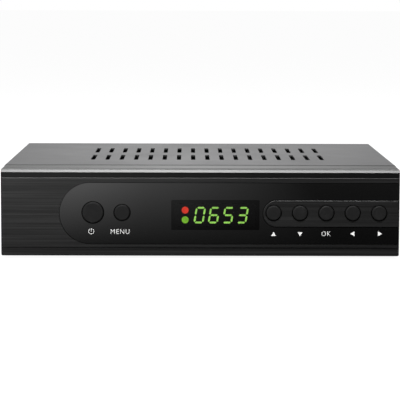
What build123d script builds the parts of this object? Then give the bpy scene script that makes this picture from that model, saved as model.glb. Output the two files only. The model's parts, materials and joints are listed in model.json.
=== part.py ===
from build123d import *
import os
from math import cos, radians, sin, tan

# Satellite receiver. X runs across the front, +Y from the front to the rear, +Z up.
# The origin is below the middle of the case, on the surface that its feet stand on.

os.makedirs("parts", exist_ok=True)

# ------------------------------------------------------------ driving dimensions, in mm
# Front moulding. Depths are measured rearwards from the face of its raised plate.
front_width = 220.0
front_height = 48.65
front_depth = 18.0
wall = 2.2
bottom_wall = 3.0
moulding_bottom = 1.75
top_corner_radius = 1.5
bottom_corner_radius = 0.9
bottom_edge_radius = 0.3
side_edge_radius = 0.8
ledge_radius = 0.35
plate_rise = 0.8
plate_low = 4.65
plate_top_inset = 5.1
# Nose along the moulding's top edge: a steep facet, then a shoulder up to the top
nose_height = 2.2
nose_depth = 0.3
facet_height = 1.45
facet_lean = 0.8
shoulder_lean = 1.1
nose_radius = 0.6

# Glossy panel, key strip and display window. Insets are measured from the moulding's ends.
panel_inset = 32.4
panel_margin = 2.55
panel_drop = 0.35
panel_thickness = 1.6
panel_rim = 0.65
panel_gap = 0.3
strip_key_inset = 10.75
strip_end = 5.8
strip_height = 14.7
strip_rise = 0.5
window_inset = 2.0
window_width = 48.65
window_drop = 0.85
window_height = 16.55
window_corner = 0.6
window_ledge = 1.5
window_gap = 0.1

# Keys
power_key_inset = 18.3
power_cap_radius = 5.9
menu_key_inset = 34.4
menu_cap_radius = 4.4
strip_key_pitch = 14.55
strip_cap_radius = 4.15
key_rise = 0.45
key_gap = 0.4
key_proud = 1.1
key_edge = 0.75
key_travel = 0.6
flange_width = 1.2
flange_thickness = 1.0
flange_gap = 0.3
stem_radius = 1.6

# Tact switches and the front board
tact_size = 6.0
tact_height = 3.5
tact_bore_radius = 1.8
tact_floor = 0.5
plunger_radius = 1.5
plunger_height = 1.0
plunger_clearance = 0.4
board_thickness = 1.6
front_board_depth = 11.1
front_board_left_inset = 5.6
front_board_right_inset = 5.35
front_board_height = 34.0
boss_radius = 3.0
boss_inset_x = 5.0
boss_inset_z = 4.0
pilot_radius = 1.1
pilot_depth = 7.4

# Display
module_offset = 0.58
module_width = 44.5
module_height = 14.1
module_depth = 3.6
segment_rise = 0.3
segment_gap = 0.6
segment_width = 1.0
digit_text = "0653"
digit_inset = 9.6
digit_pitch = 7.9
digit_width = 5.6
digit_height = 9.2
digit_drop = 0.45
digit_slant = 9.0
lamp_inset = 5.0
lamp_drop = 0.4
lamp_spacing = 5.4
lamp_radius = 1.9
lamp_length = 3.0
lamp_gap = 0.05
receiver_inset = 6.0
receiver_rise = 5.1
receiver_width = 5.6
receiver_height = 7.0
receiver_length = 3.6
receiver_eye_radius = 2.2
receiver_hole_radius = 3.0

# Sheet-metal case
sheet = 0.8
housing_depth = 156.0
seam_gap = 0.3
cover_inset = 0.1
cover_rise = 0.15
cover_bend = 1.0
cover_lip = 8.0
floor_bottom = 3.0
chassis_clearance = 0.1
chassis_side = 12.0
rear_wall_gap = 0.3
lip_thickness = 1.4
lip_reach = 5.0
lip_root = 3.0
lip_clearance = 0.15
lip_side_bottom = 15.25

# Slots in the cover, the floor and the rear panel
slot_width = 2.5
vent_count = 17
vent_pitch = 8.31
vent_centre = 4.4
vent_length = 29.0
vent_front_row = 62.6
vent_rear_row = 106.9
side_vent_count = 14
side_vent_pitch = 6.0
side_vent_length = 13.0
side_vent_middle = 92.0
side_vent_level = 34.0
floor_vent_count = 12
floor_vent_pitch = 8.0
floor_vent_length = 24.0
floor_vent_rows = (76.0, 114.0)
rear_vent_count = 11
rear_vent_pitch = 6.0
rear_vent_length = 9.0
rear_vent_centre = 22.0
rear_vent_level = 34.5

# Fasteners and feet
tapping_shank_radius = 1.05
tapping_length = 6.8
tapping_head_radius = 2.4
tapping_head = 1.4
machine_shank_radius = 1.3
machine_length = 5.0
machine_head_radius = 2.75
machine_head = 1.2
recess_width = 0.8
recess_depth = 0.7
recess_share = 1.2
thread_clearance = 0.05
screw_clearance = 0.3
tab_inset = 32.0
tab_width = 12.0
tab_height = 6.4
tab_front = 15.0
tab_rear = 28.5
tab_screw_depth = 24.4
side_screw_front_inset = 29.7
side_screw_rear_inset = 18.0
side_screw_level = 7.6
lip_screw_inset = 24.9
foot_radius = 6.0
foot_side_inset = 13.0
foot_front_inset = 15.7
foot_rear_inset = 14.0
foot_stem_radius = 2.0
foot_stem_height = 1.8
foot_hole_clearance = 0.1

# Main board
board_front = 38.0
board_rear_gap = 0.8
board_side_gap = 2.7
standoff_height = 6.0
standoff_radius = 2.75
standoff_side_inset = 9.5
standoff_front_inset = 6.0
standoff_middle_inset = 62.0
standoff_rear_inset = 4.9
standoff_can_gap = 6.0
processor_inset = 54.0
processor_size = 21.0
processor_height = 2.0
heatsink_size = 32.0
heatsink_base = 2.0
heatsink_height = 11.0
fin_count = 8
fin_thickness = 1.2
memory_width = 12.5
memory_length = 9.0
memory_height = 1.1
memory_gap = 3.5
memory_spacing = 14.0
capacitor_radius = 4.0
capacitor_height = 12.0
capacitor_pitch = 12.0
capacitor_side_inset = 15.5
capacitor_rows = (34.0, 78.0)
capacitor_count = 3
ribbon_inset = 32.0
ribbon_width = 16.0
ribbon_thickness = 0.9
ribbon_level = 19.0
ribbon_landing = 8.0
ribbon_bend = 4.0

# Rear sockets
panel_gap_rear = 0.2
can_depth = 24.0
can_height = 14.0
satellite_can_width = 42.0
lnb_pitch = 19.0
lnb_barrel_radius = 4.7
lnb_root_radius = 4.2
lnb_barrel_length = 11.8
lnb_bore_radius = 3.2
lnb_bore_depth = 9.0
lnb_nut_flats = 11.0
lnb_nut_thickness = 2.5
insulator_recess = 0.5
insulator_hole_radius = 0.5
aerial_can_width = 35.0
aerial_pitch = 19.0
aerial_shell_radius = 4.75
aerial_shell_wall = 0.7
aerial_root_step = 0.5
aerial_length = 9.0
aerial_contact_radius = 1.5
aerial_contact_bore = 0.7
aerial_output_radius = 5.4
aerial_pin_radius = 1.2
video_socket_width = 15.2
video_socket_height = 5.7
video_opening_width = 14.0
video_opening_height = 4.5
video_chamfer = 1.6
video_cavity = 8.6
video_length = 12.0
tongue_width = 11.2
tongue_thickness = 1.2
tongue_length = 7.8
network_width = 16.0
network_height = 13.5
network_length = 18.0
network_opening_width = 11.8
network_opening_height = 7.2
network_sill = 3.4
network_cavity = 12.0
network_latch_width = 6.2
network_latch_height = 1.6
data_width = 13.4
data_height = 6.2
data_opening_width = 12.5
data_opening_height = 5.1
data_cavity = 10.0
data_length = 14.0
data_tongue_width = 10.6
data_tongue_thickness = 1.8
data_tongue_length = 9.0
data_tongue_drop = 0.4
socket_proud = 0.5
av_width = 27.0
av_height = 27.5
av_depth = 12.0
av_pitch = 13.5
collar_radius = 5.1
collar_proud = 1.6
sleeve_radius = 4.15
sleeve_wall = 0.6
sleeve_length = 9.0
contact_bore_radius = 1.65
contact_bore_depth = 8.0
core_recess = 0.4
dc_width = 9.0
dc_height = 11.0
dc_length = 14.0
dc_level = 6.5
dc_bore_radius = 3.2
dc_bore_depth = 9.5
dc_pin_radius = 1.0
dc_pin_length = 9.0
switch_level = 31.0
switch_flange_width = 21.0
switch_flange_height = 15.0
switch_flange = 2.0
switch_body_width = 19.0
switch_body_height = 13.0
switch_body_depth = 16.0
rocker_width = 15.2
rocker_height = 9.6
rocker_root = 4.2
rocker_heel = 1.6
rocker_gap = 0.35
rocker_tilt = 10.0
rocker_axis_depth = 3.2
rocker_pin_radius = 1.2
rocker_pin_length = 0.9
rocker_pin_clearance = 0.08
terminal_width = 4.8
terminal_thickness = 0.8
terminal_spacing = 8.0
terminal_inset = 3.0

# ------------------------------------------------------------ sizes worked out from them
wall_back = plate_rise + wall
panel_left = panel_inset - front_width / 2
strip_right = front_width / 2 - panel_rim
panel_right = strip_right - panel_gap
power_key_x = panel_left + power_key_inset
menu_key_x = panel_left + menu_key_inset
strip_key_x = strip_right - strip_key_inset - 4 * strip_key_pitch
strip_left = strip_key_x - strip_end
window_right = strip_left - window_inset
window_centre = window_right - window_width / 2
module_centre = window_centre + module_offset
module_left = module_centre - module_width / 2
digit_left = module_left + digit_inset
lamp_x = module_left + lamp_inset
moulding_top = moulding_bottom + front_height
plate_high = front_height - plate_top_inset
panel_height = plate_high - plate_low - 2 * panel_margin
panel_z = moulding_bottom + (plate_low + plate_high) / 2 - panel_drop
key_z = panel_z + key_rise
window_z = panel_z - window_drop
digit_z = window_z - digit_drop
lamp_z = window_z - lamp_drop
key_front_reach = strip_rise + key_proud
receiver_x = window_centre - window_width / 2 + receiver_inset
receiver_z = window_z + window_height / 2 + receiver_rise
front_board_left = panel_left + front_board_left_inset
front_board_width = strip_right - front_board_right_inset - front_board_left
front_board_centre = front_board_left + front_board_width / 2
ribbon_x = front_board_left + ribbon_inset

cover_top = moulding_top + cover_rise
cover_front = front_depth + seam_gap
cover_width = front_width - 2 * cover_inset
cover_height = cover_top - floor_bottom
cover_inner_width = cover_width - 2 * sheet
chassis_width = cover_inner_width - 2 * chassis_clearance
rear_outer = housing_depth - sheet
rear_inner = rear_outer - sheet
floor_top = floor_bottom + sheet

side_screw_depths = (cover_front + side_screw_front_inset, housing_depth - side_screw_rear_inset)
lip_screw_x = cover_width / 2 - lip_screw_inset
tab_x = front_width / 2 - tab_inset
tab_positions = (-tab_x, 0.0, tab_x)
foot_x = chassis_width / 2 - foot_side_inset
foot_front_depth = cover_front + foot_front_inset
foot_rear_depth = housing_depth - foot_rear_inset

board_bottom = floor_top + standoff_height
board_top = board_bottom + board_thickness
board_rear = rear_inner - board_rear_gap
board_middle = (board_front + board_rear) / 2
board_width = chassis_width - 2 * sheet - 2 * board_side_gap
processor_place = board_front + processor_inset
ribbon_end = board_front + ribbon_landing

tact_top = front_board_depth - tact_height
stem_end = tact_top - plunger_height
front_board_back = front_board_depth + board_thickness
machine_pilot_radius = machine_shank_radius + thread_clearance
can_axis = board_top + can_height / 2

rear_reach = rear_outer + lnb_barrel_length
front_y = (key_front_reach - rear_reach) / 2


# What stands along the rear edge of the board, from -X to +X, with even gaps between.
REAR_ROW = (
    ("switch", switch_flange_width),
    ("dc", dc_width),
    ("av", av_width),
    ("data", data_width),
    ("network", network_width),
    ("video", video_socket_width),
    ("aerial", aerial_can_width),
    ("satellite", satellite_can_width),
)


def rear_places():
    """Spread the rear row over the board's width and return the middle of each unit."""
    taken = sum(width for _, width in REAR_ROW)
    gap = (board_width - taken) / (len(REAR_ROW) - 1)
    edge = -board_width / 2
    places = {}
    for name, width in REAR_ROW:
        places[name] = edge + width / 2
        edge += width + gap
    return places


REAR = rear_places()
switch_x = REAR["switch"]
dc_x = REAR["dc"]
av_x = REAR["av"]
data_x = REAR["data"]
network_x = REAR["network"]
video_socket_x = REAR["video"]
aerial_can_x = REAR["aerial"]
satellite_can_x = REAR["satellite"]
lnb_input_x = satellite_can_x + lnb_pitch / 2
lnb_output_x = satellite_can_x - lnb_pitch / 2
aerial_input_x = aerial_can_x + aerial_pitch / 2
aerial_output_x = aerial_can_x - aerial_pitch / 2

standoff_x = board_width / 2 - standoff_side_inset
standoff_places = (
    (-standoff_x, board_front + standoff_front_inset),
    (standoff_x, board_front + standoff_front_inset),
    (-standoff_x, board_front + standoff_middle_inset),
    (standoff_x, rear_inner - can_depth - standoff_can_gap),
    (switch_x, board_rear - standoff_rear_inset),
)
capacitor_x = capacitor_side_inset - board_width / 2
capacitor_places = [
    (capacitor_x + column * capacitor_pitch, board_front + row)
    for row in capacitor_rows
    for column in range(capacitor_count)
]
memory_x = processor_size / 2 + (heatsink_size - processor_size) / 2 + memory_gap + memory_width / 2
memory_places = (
    (memory_x, processor_place - memory_spacing / 2),
    (memory_x, processor_place + memory_spacing / 2),
    (-memory_x, processor_place),
)


def upright(depth):
    """A plane that faces the front, `depth` behind the plate's face: its local y is Z."""
    return Plane(origin=(0, front_y + depth, 0), x_dir=(1, 0, 0), z_dir=(0, -1, 0))


def save(part, name):
    """Label one finished piece and write its STEP file."""
    part.label = name
    export_step(part, f"parts/{name}.step")


def d_shape(left, right, height, level, grow=0.0):
    """Draw a band with a half-round left end and a square right end."""
    start = left + height / 2
    radius = height / 2 + grow
    with Locations(((start + right + grow) / 2, level)):
        Rectangle(right + grow - start, 2 * radius)
    with Locations((start, level)):
        Circle(radius)


def key_list():
    """Every key's name, place across the front, cap radius and the depth of its seat."""
    keys = [("power", power_key_x, power_cap_radius, 0.0), ("menu", menu_key_x, menu_cap_radius, 0.0)]
    for index, name in enumerate(("up", "down", "ok", "left", "right")):
        keys.append((name, strip_key_x + index * strip_key_pitch, strip_cap_radius, -strip_rise))
    return keys


def nose_points():
    """Side view of the nose as Y and Z: up the facet, over the shoulder and back along the top."""
    low = moulding_top - nose_height
    face = front_y + nose_depth
    return [
        (face, low),
        (face + facet_lean, low + facet_height),
        (face + facet_lean + shoulder_lean, moulding_top),
        (front_y + front_depth, moulding_top),
        (front_y + front_depth, low),
    ]


KEYS = key_list()
BOSSES = [
    (front_board_centre + side * (front_board_width / 2 - boss_inset_x),
     panel_z + end * (front_board_height / 2 - boss_inset_z))
    for side in (-1, 1)
    for end in (-1, 1)
]

# ------------------------------------------------------------ front moulding
with BuildPart() as front_bezel:
    # Side view: a band below, a raised plate, a band above it, and a nose along the top edge.
    with BuildSketch(Plane.YZ) as side_view:
        with Locations((front_y + plate_rise, moulding_bottom)):
            Rectangle(front_depth - plate_rise, front_height - nose_height, align=(Align.MIN, Align.MIN))
        with Locations((front_y, moulding_bottom + plate_low)):
            Rectangle(plate_rise + ledge_radius, plate_high - plate_low, align=(Align.MIN, Align.MIN))
        nose = nose_points()
        Polygon(*nose, align=None)
        for corner in nose[1:3]:
            fillet(side_view.vertices().sort_by_distance(corner)[0], radius=nose_radius)
        low_vertex = side_view.vertices().sort_by_distance((front_y + plate_rise, moulding_bottom))[0]
        fillet(low_vertex, radius=bottom_edge_radius)
        for level in (plate_low, plate_high):
            ledge = (front_y, moulding_bottom + level)
            fillet(side_view.vertices().sort_by_distance(ledge)[0], radius=ledge_radius)
    extrude(amount=front_width / 2, both=True)
    # Front view: the corners of the outline.
    with BuildSketch(upright(0)) as front_view:
        with Locations((0, moulding_bottom)):
            Rectangle(front_width, front_height, align=(Align.CENTER, Align.MIN))
        fillet(front_view.vertices().group_by(Axis.Y)[-1], radius=top_corner_radius)
        fillet(front_view.vertices().group_by(Axis.Y)[0], radius=bottom_corner_radius)
    extrude(amount=-front_depth, mode=Mode.INTERSECT)
    # Top view: the upright edges at both ends.
    with BuildSketch(Plane.XY.offset(moulding_bottom)) as top_view:
        with Locations((0, front_y)):
            Rectangle(front_width, front_depth, align=(Align.CENTER, Align.MIN))
        fillet(top_view.vertices().group_by(Axis.Y)[0], radius=side_edge_radius)
    extrude(amount=front_height, mode=Mode.INTERSECT)
    # The hollow behind the front wall.
    with BuildSketch(upright(wall_back)):
        with Locations((0, moulding_bottom + bottom_wall)):
            Rectangle(
                front_width - 2 * wall, front_height - wall - bottom_wall, align=(Align.CENTER, Align.MIN)
            )
    extrude(amount=-(front_depth - wall_back), mode=Mode.SUBTRACT)
    # The seat of the glossy panel, and the key strip that stands through the panel.
    with BuildSketch(upright(0)):
        d_shape(panel_left, panel_right, panel_height, panel_z, panel_gap)
    extrude(amount=-panel_thickness, mode=Mode.SUBTRACT)
    with BuildSketch(upright(-strip_rise)):
        d_shape(strip_left, strip_right, strip_height, panel_z)
    extrude(amount=-(strip_rise + panel_thickness))
    strip_face = front_bezel.faces().sort_by(Axis.Y)[0]
    fillet(strip_face.edges(), radius=ledge_radius)
    # Openings: the display, the infrared eye and the keys.
    with BuildSketch(upright(0)):
        with Locations((window_centre, window_z)):
            Rectangle(window_width - 2 * window_ledge, window_height - 2 * window_ledge)
        with Locations((receiver_x, receiver_z)):
            Circle(receiver_hole_radius)
    extrude(amount=-wall_back, mode=Mode.SUBTRACT)
    with BuildSketch(upright(-strip_rise)):
        for _, x, radius, _ in KEYS:
            with Locations((x, key_z)):
                Circle(radius + key_gap)
    extrude(amount=-(strip_rise + wall_back), mode=Mode.SUBTRACT)
    # Bosses that carry the front board.
    with BuildSketch(upright(wall_back)):
        with Locations(*BOSSES):
            Circle(boss_radius)
    extrude(amount=-(front_board_depth - wall_back))
    with BuildSketch(upright(front_board_depth)):
        with Locations(*BOSSES):
            Circle(pilot_radius)
    extrude(amount=pilot_depth, mode=Mode.SUBTRACT)
    # The lip that the cover slides over: an arch, open below.
    lip_outer_width = cover_inner_width - 2 * lip_clearance
    lip_top = cover_top - sheet - lip_clearance
    lip_bottom = moulding_bottom + lip_side_bottom
    with BuildSketch(upright(front_depth - lip_root)) as lip_view:
        with Locations((0, lip_bottom)):
            Rectangle(lip_outer_width, lip_top - lip_bottom, align=(Align.CENTER, Align.MIN))
        fillet(lip_view.vertices().group_by(Axis.Y)[-1], radius=cover_bend)
        with Locations((0, lip_bottom)):
            Rectangle(
                lip_outer_width - 2 * lip_thickness,
                lip_top - lip_bottom - lip_thickness,
                align=(Align.CENTER, Align.MIN),
                mode=Mode.SUBTRACT,
            )
    extrude(amount=-(lip_root + lip_reach))
    # Blocks that stand on the chassis floor and take its screws.
    with BuildSketch(Plane.XY.offset(floor_top)):
        with Locations(*[(x, front_y + (tab_front + tab_rear) / 2) for x in tab_positions]):
            Rectangle(tab_width, tab_rear - tab_front)
    extrude(amount=tab_height)
    with BuildSketch(Plane.XY.offset(floor_top)):
        with Locations(*[(x, front_y + tab_screw_depth) for x in tab_positions]):
            Circle(pilot_radius)
    extrude(amount=tab_height, mode=Mode.SUBTRACT)
save(front_bezel.part, "front_bezel")

# ------------------------------------------------------------ glossy panel and window
with BuildPart() as gloss_panel:
    with BuildSketch(upright(0)):
        d_shape(panel_left, panel_right, panel_height, panel_z)
        with BuildSketch(mode=Mode.SUBTRACT):
            d_shape(strip_left, strip_right, strip_height, panel_z, panel_gap)
        with Locations((window_centre, window_z)):
            RectangleRounded(window_width, window_height, window_corner, mode=Mode.SUBTRACT)
        for _, x, radius, seat in KEYS:
            if seat == 0:
                with Locations((x, key_z)):
                    Circle(radius + key_gap, mode=Mode.SUBTRACT)
    extrude(amount=-panel_thickness)
save(gloss_panel.part, "gloss_panel")

with BuildPart() as display_window:
    with BuildSketch(upright(0)):
        with Locations((window_centre, window_z)):
            RectangleRounded(window_width - 2 * window_gap, window_height - 2 * window_gap, window_corner)
    extrude(amount=-panel_thickness)
save(display_window.part, "display_window")

# ------------------------------------------------------------ keys and switch plungers
for name, key_x, cap_radius, seat in KEYS:
    with BuildPart() as key:
        with BuildSketch(upright(seat - key_proud)):
            with Locations((key_x, key_z)):
                Circle(cap_radius)
        extrude(amount=-(wall_back + flange_gap - seat + key_proud))
        fillet(key.faces().sort_by(Axis.Y)[0].edges(), radius=key_edge)
        with BuildSketch(upright(wall_back + flange_gap)):
            with Locations((key_x, key_z)):
                Circle(cap_radius + flange_width)
        extrude(amount=-flange_thickness)
        with BuildSketch(upright(wall_back + flange_gap)):
            with Locations((key_x, key_z)):
                Circle(stem_radius)
        extrude(amount=-(stem_end - wall_back - flange_gap))
    save(key.part, f"{name}_key")

    with BuildPart() as plunger:
        with BuildSketch(upright(stem_end)):
            with Locations((key_x, key_z)):
                Circle(plunger_radius)
        extrude(amount=-(front_board_depth - tact_floor - key_travel - plunger_clearance - stem_end))
    save(plunger.part, f"{name}_plunger")

with BuildPart() as tact_switches:
    with BuildSketch(upright(tact_top)):
        for _, x, _, _ in KEYS:
            with Locations((x, key_z)):
                Rectangle(tact_size, tact_size)
    extrude(amount=-tact_height)
    with BuildSketch(upright(tact_top)):
        for _, x, _, _ in KEYS:
            with Locations((x, key_z)):
                Circle(tact_bore_radius)
    extrude(amount=-(tact_height - tact_floor), mode=Mode.SUBTRACT)
save(tact_switches.part, "tact_switches")

# ------------------------------------------------------------ front board and what it carries
with BuildPart() as front_board:
    with BuildSketch(upright(front_board_depth)):
        with Locations((front_board_centre, panel_z)):
            Rectangle(front_board_width, front_board_height)
        with Locations(*BOSSES):
            Circle(tapping_shank_radius + screw_clearance, mode=Mode.SUBTRACT)
    extrude(amount=-board_thickness)
save(front_board.part, "front_board")

LAMPS = [(lamp_x, lamp_z + side * lamp_spacing / 2) for side in (1, -1)]

with BuildPart() as display_module:
    with BuildSketch(upright(module_depth)):
        with Locations((module_centre, window_z)):
            Rectangle(module_width, module_height)
    extrude(amount=-(front_board_depth - module_depth))
    with BuildSketch(upright(module_depth)):
        with Locations(*LAMPS):
            Circle(lamp_radius + lamp_gap)
    extrude(amount=-(lamp_length - segment_rise), mode=Mode.SUBTRACT)
save(display_module.part, "display_module")

# Seven bars to a digit, named a to g: each runs between two nodes of a 2 by 3 grid.
BARS = {"a": ((0, 2), (1, 2)), "b": ((1, 1), (1, 2)), "c": ((1, 0), (1, 1)), "d": ((0, 0), (1, 0)),
        "e": ((0, 0), (0, 1)), "f": ((0, 1), (0, 2)), "g": ((0, 1), (1, 1))}
LIT_BARS = {"0": "abcdef", "3": "abcdg", "5": "acdfg", "6": "acdefg"}


def bar_outline(start, end, left):
    """The six corners of one pointed bar of the digit whose lower left corner is at `left`."""
    column = digit_width - segment_width
    row = (digit_height - segment_width) / 2
    half = segment_width / 2
    first = Vector(start[0] * column, start[1] * row)
    last = Vector(end[0] * column, end[1] * row)
    along = (last - first).normalized()
    across = Vector(-along.Y, along.X) * half
    tip = along * (segment_gap / 2)
    shoulder = along * (segment_gap / 2 + half)
    corners = [first + tip, first + shoulder + across, last - shoulder + across,
               last - tip, last - shoulder - across, first + shoulder - across]
    slant = tan(radians(digit_slant))
    bottom = digit_z - digit_height / 2 + half
    return [(left + half + corner.X + slant * corner.Y, bottom + corner.Y) for corner in corners]


with BuildPart() as display_digits:
    with BuildSketch(upright(module_depth - segment_rise)):
        for place, character in enumerate(digit_text):
            for bar in LIT_BARS[character]:
                Polygon(*bar_outline(*BARS[bar], digit_left + place * digit_pitch), align=None)
    extrude(amount=-segment_rise)
save(display_digits.part, "display_digits")

for name, place in zip(("standby_lamp", "signal_lamp"), LAMPS):
    with BuildPart() as lamp:
        with BuildSketch(upright(module_depth - segment_rise)):
            with Locations(place):
                Circle(lamp_radius)
        extrude(amount=-lamp_length)
    save(lamp.part, name)

with BuildPart() as infrared_receiver:
    with BuildSketch(upright(front_board_depth - receiver_length)):
        with Locations((receiver_x, receiver_z)):
            Rectangle(receiver_width, receiver_height)
    extrude(amount=-receiver_length)
    with Locations((receiver_x, front_y + front_board_depth - receiver_length, receiver_z)):
        Sphere(receiver_eye_radius)
save(infrared_receiver.part, "infrared_receiver")

# ------------------------------------------------------------ chassis
LNB_PLACES = [(x, can_axis) for x in (lnb_input_x, lnb_output_x)]
AV_LEVEL = board_top + av_height / 2
AV_PLACES = {
    "video_insert": (av_x + av_pitch / 2, AV_LEVEL + av_pitch / 2),
    "digital_audio_insert": (av_x + av_pitch / 2, AV_LEVEL - av_pitch / 2),
    "audio_left_insert": (av_x - av_pitch / 2, AV_LEVEL + av_pitch / 2),
    "audio_right_insert": (av_x - av_pitch / 2, AV_LEVEL - av_pitch / 2),
}
FEET = [(side * foot_x, front_y + depth) for side in (-1, 1) for depth in (foot_front_depth, foot_rear_depth)]
# Square sockets on the board: place, width and height
BOX_SOCKETS = (
    (video_socket_x, video_socket_width, video_socket_height),
    (network_x, network_width, network_height),
    (data_x, data_width, data_height),
    (dc_x, dc_width, dc_height),
)

with BuildPart() as bottom_chassis:
    with BuildSketch(upright(cover_front)) as tray_view:
        with Locations((0, floor_bottom)):
            Rectangle(chassis_width, chassis_side, align=(Align.CENTER, Align.MIN))
        fillet(tray_view.vertices().group_by(Axis.Y)[0], radius=cover_bend)
        with BuildSketch(mode=Mode.SUBTRACT) as tray_inside:
            with Locations((0, floor_top)):
                Rectangle(chassis_width - 2 * sheet, chassis_side, align=(Align.CENTER, Align.MIN))
            fillet(tray_inside.vertices().group_by(Axis.Y)[0], radius=cover_bend - sheet)
    extrude(amount=-(rear_outer - cover_front))
    with BuildSketch(upright(rear_inner)) as rear_view:
        with Locations((0, floor_bottom)):
            Rectangle(chassis_width, cover_height - sheet - rear_wall_gap, align=(Align.CENTER, Align.MIN))
        fillet(rear_view.vertices(), radius=cover_bend)
    extrude(amount=-sheet)
    # Holes in the rear wall
    with BuildSketch(upright(rear_inner)):
        with Locations(*LNB_PLACES):
            Circle(lnb_barrel_radius + panel_gap_rear)
        with Locations((aerial_input_x, can_axis), (aerial_output_x, can_axis)):
            Circle(aerial_output_radius + panel_gap_rear)
        for x, width, height in BOX_SOCKETS:
            with Locations((x, board_top + height / 2)):
                Rectangle(width + 2 * panel_gap_rear, height + 2 * panel_gap_rear)
        with Locations(*AV_PLACES.values()):
            Circle(collar_radius + panel_gap_rear)
        with Locations((switch_x, switch_level)):
            Rectangle(switch_body_width + 2 * panel_gap_rear, switch_body_height + 2 * panel_gap_rear)
        with Locations((rear_vent_centre, rear_vent_level)):
            with GridLocations(rear_vent_pitch, 1, rear_vent_count, 1):
                SlotOverall(rear_vent_length, slot_width, rotation=90)
        with Locations((-lip_screw_x, cover_top - cover_lip / 2), (lip_screw_x, cover_top - cover_lip / 2)):
            Circle(machine_pilot_radius)
        with Locations((av_x, AV_LEVEL)):
            Circle(machine_shank_radius + screw_clearance)
    extrude(amount=-sheet, mode=Mode.SUBTRACT)
    # Holes in the floor: slots, feet and the screws of the front moulding
    with BuildSketch(Plane.XY.offset(floor_bottom)):
        for depth in floor_vent_rows:
            with Locations((0, front_y + depth)):
                with GridLocations(floor_vent_pitch, 1, floor_vent_count, 1):
                    SlotOverall(floor_vent_length, slot_width, rotation=90)
        with Locations(*FEET):
            Circle(foot_stem_radius + foot_hole_clearance)
        with Locations(*[(x, front_y + tab_screw_depth) for x in tab_positions]):
            Circle(tapping_shank_radius + screw_clearance)
    extrude(amount=sheet, mode=Mode.SUBTRACT)
    # Threaded holes for the cover's side screws
    with BuildSketch(Plane.YZ.offset(-chassis_width / 2)):
        with Locations(*[(front_y + depth, side_screw_level) for depth in side_screw_depths]):
            Circle(machine_pilot_radius)
    extrude(amount=chassis_width, mode=Mode.SUBTRACT)
save(bottom_chassis.part, "bottom_chassis")

# ------------------------------------------------------------ cover
with BuildPart() as top_cover:
    with BuildSketch(upright(cover_front)) as cover_view:
        with Locations((0, floor_bottom)):
            Rectangle(cover_width, cover_height, align=(Align.CENTER, Align.MIN))
        fillet(cover_view.vertices().group_by(Axis.Y)[-1], radius=cover_bend)
        with BuildSketch(mode=Mode.SUBTRACT) as cover_inside:
            with Locations((0, floor_bottom)):
                Rectangle(cover_inner_width, cover_height - sheet, align=(Align.CENTER, Align.MIN))
            fillet(cover_inside.vertices().group_by(Axis.Y)[-1], radius=cover_bend - sheet)
    extrude(amount=-(housing_depth - cover_front))
    with BuildSketch(upright(rear_outer)):
        with Locations((0, cover_top - sheet / 2)):
            Rectangle(
                cover_inner_width - 2 * cover_bend, cover_lip - sheet / 2, align=(Align.CENTER, Align.MAX)
            )
    extrude(amount=-sheet)
    with BuildSketch(Plane.XY.offset(cover_top)):
        with Locations((vent_centre, front_y + vent_front_row), (vent_centre, front_y + vent_rear_row)):
            with GridLocations(vent_pitch, 1, vent_count, 1):
                SlotOverall(vent_length, slot_width, rotation=90)
    extrude(amount=-2 * sheet, mode=Mode.SUBTRACT)
    with BuildSketch(Plane.YZ.offset(-cover_width / 2)):
        with Locations((front_y + side_vent_middle, side_vent_level)):
            with GridLocations(side_vent_pitch, 1, side_vent_count, 1):
                SlotOverall(side_vent_length, slot_width, rotation=90)
        with Locations(*[(front_y + depth, side_screw_level) for depth in side_screw_depths]):
            Circle(machine_shank_radius + screw_clearance)
    extrude(amount=cover_width, mode=Mode.SUBTRACT)
    with BuildSketch(upright(rear_outer)):
        with Locations((-lip_screw_x, cover_top - cover_lip / 2), (lip_screw_x, cover_top - cover_lip / 2)):
            Circle(machine_shank_radius + screw_clearance)
    extrude(amount=-sheet, mode=Mode.SUBTRACT)
save(top_cover.part, "top_cover")

# ------------------------------------------------------------ screws and feet
def make_screw(head_radius, head, shank_radius, length):
    """A pan-head screw with a cross recess: head above the XY plane, shank below it."""
    with BuildPart(mode=Mode.PRIVATE) as screw:
        with BuildSketch(Plane.XY):
            Circle(head_radius)
        extrude(amount=head)
        fillet(screw.faces().sort_by(Axis.Z)[-1].edges(), radius=head / 2)
        with BuildSketch(Plane.XY):
            Circle(shank_radius)
        extrude(amount=-length)
        with BuildSketch(Plane.XY.offset(head)):
            Rectangle(recess_share * head_radius, recess_width)
            Rectangle(recess_width, recess_share * head_radius)
        extrude(amount=-recess_depth, mode=Mode.SUBTRACT)
    return screw.part


def place_all(part, planes):
    """One group of separate solids: a copy of the part on each plane."""
    return Compound(children=[plane.location * part for plane in planes])


tapping_screw = make_screw(tapping_head_radius, tapping_head, tapping_shank_radius, tapping_length)
machine_screw = make_screw(machine_head_radius, machine_head, machine_shank_radius, machine_length)

tapping_planes = [
    Plane(origin=(x, front_y + front_board_back, z), x_dir=(1, 0, 0), z_dir=(0, 1, 0)) for x, z in BOSSES
]
tapping_planes += [
    Plane(origin=(x, front_y + tab_screw_depth, floor_bottom), x_dir=(1, 0, 0), z_dir=(0, 0, -1))
    for x in tab_positions
]
tapping_screws = place_all(tapping_screw, tapping_planes)
save(tapping_screws, "tapping_screws")

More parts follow.
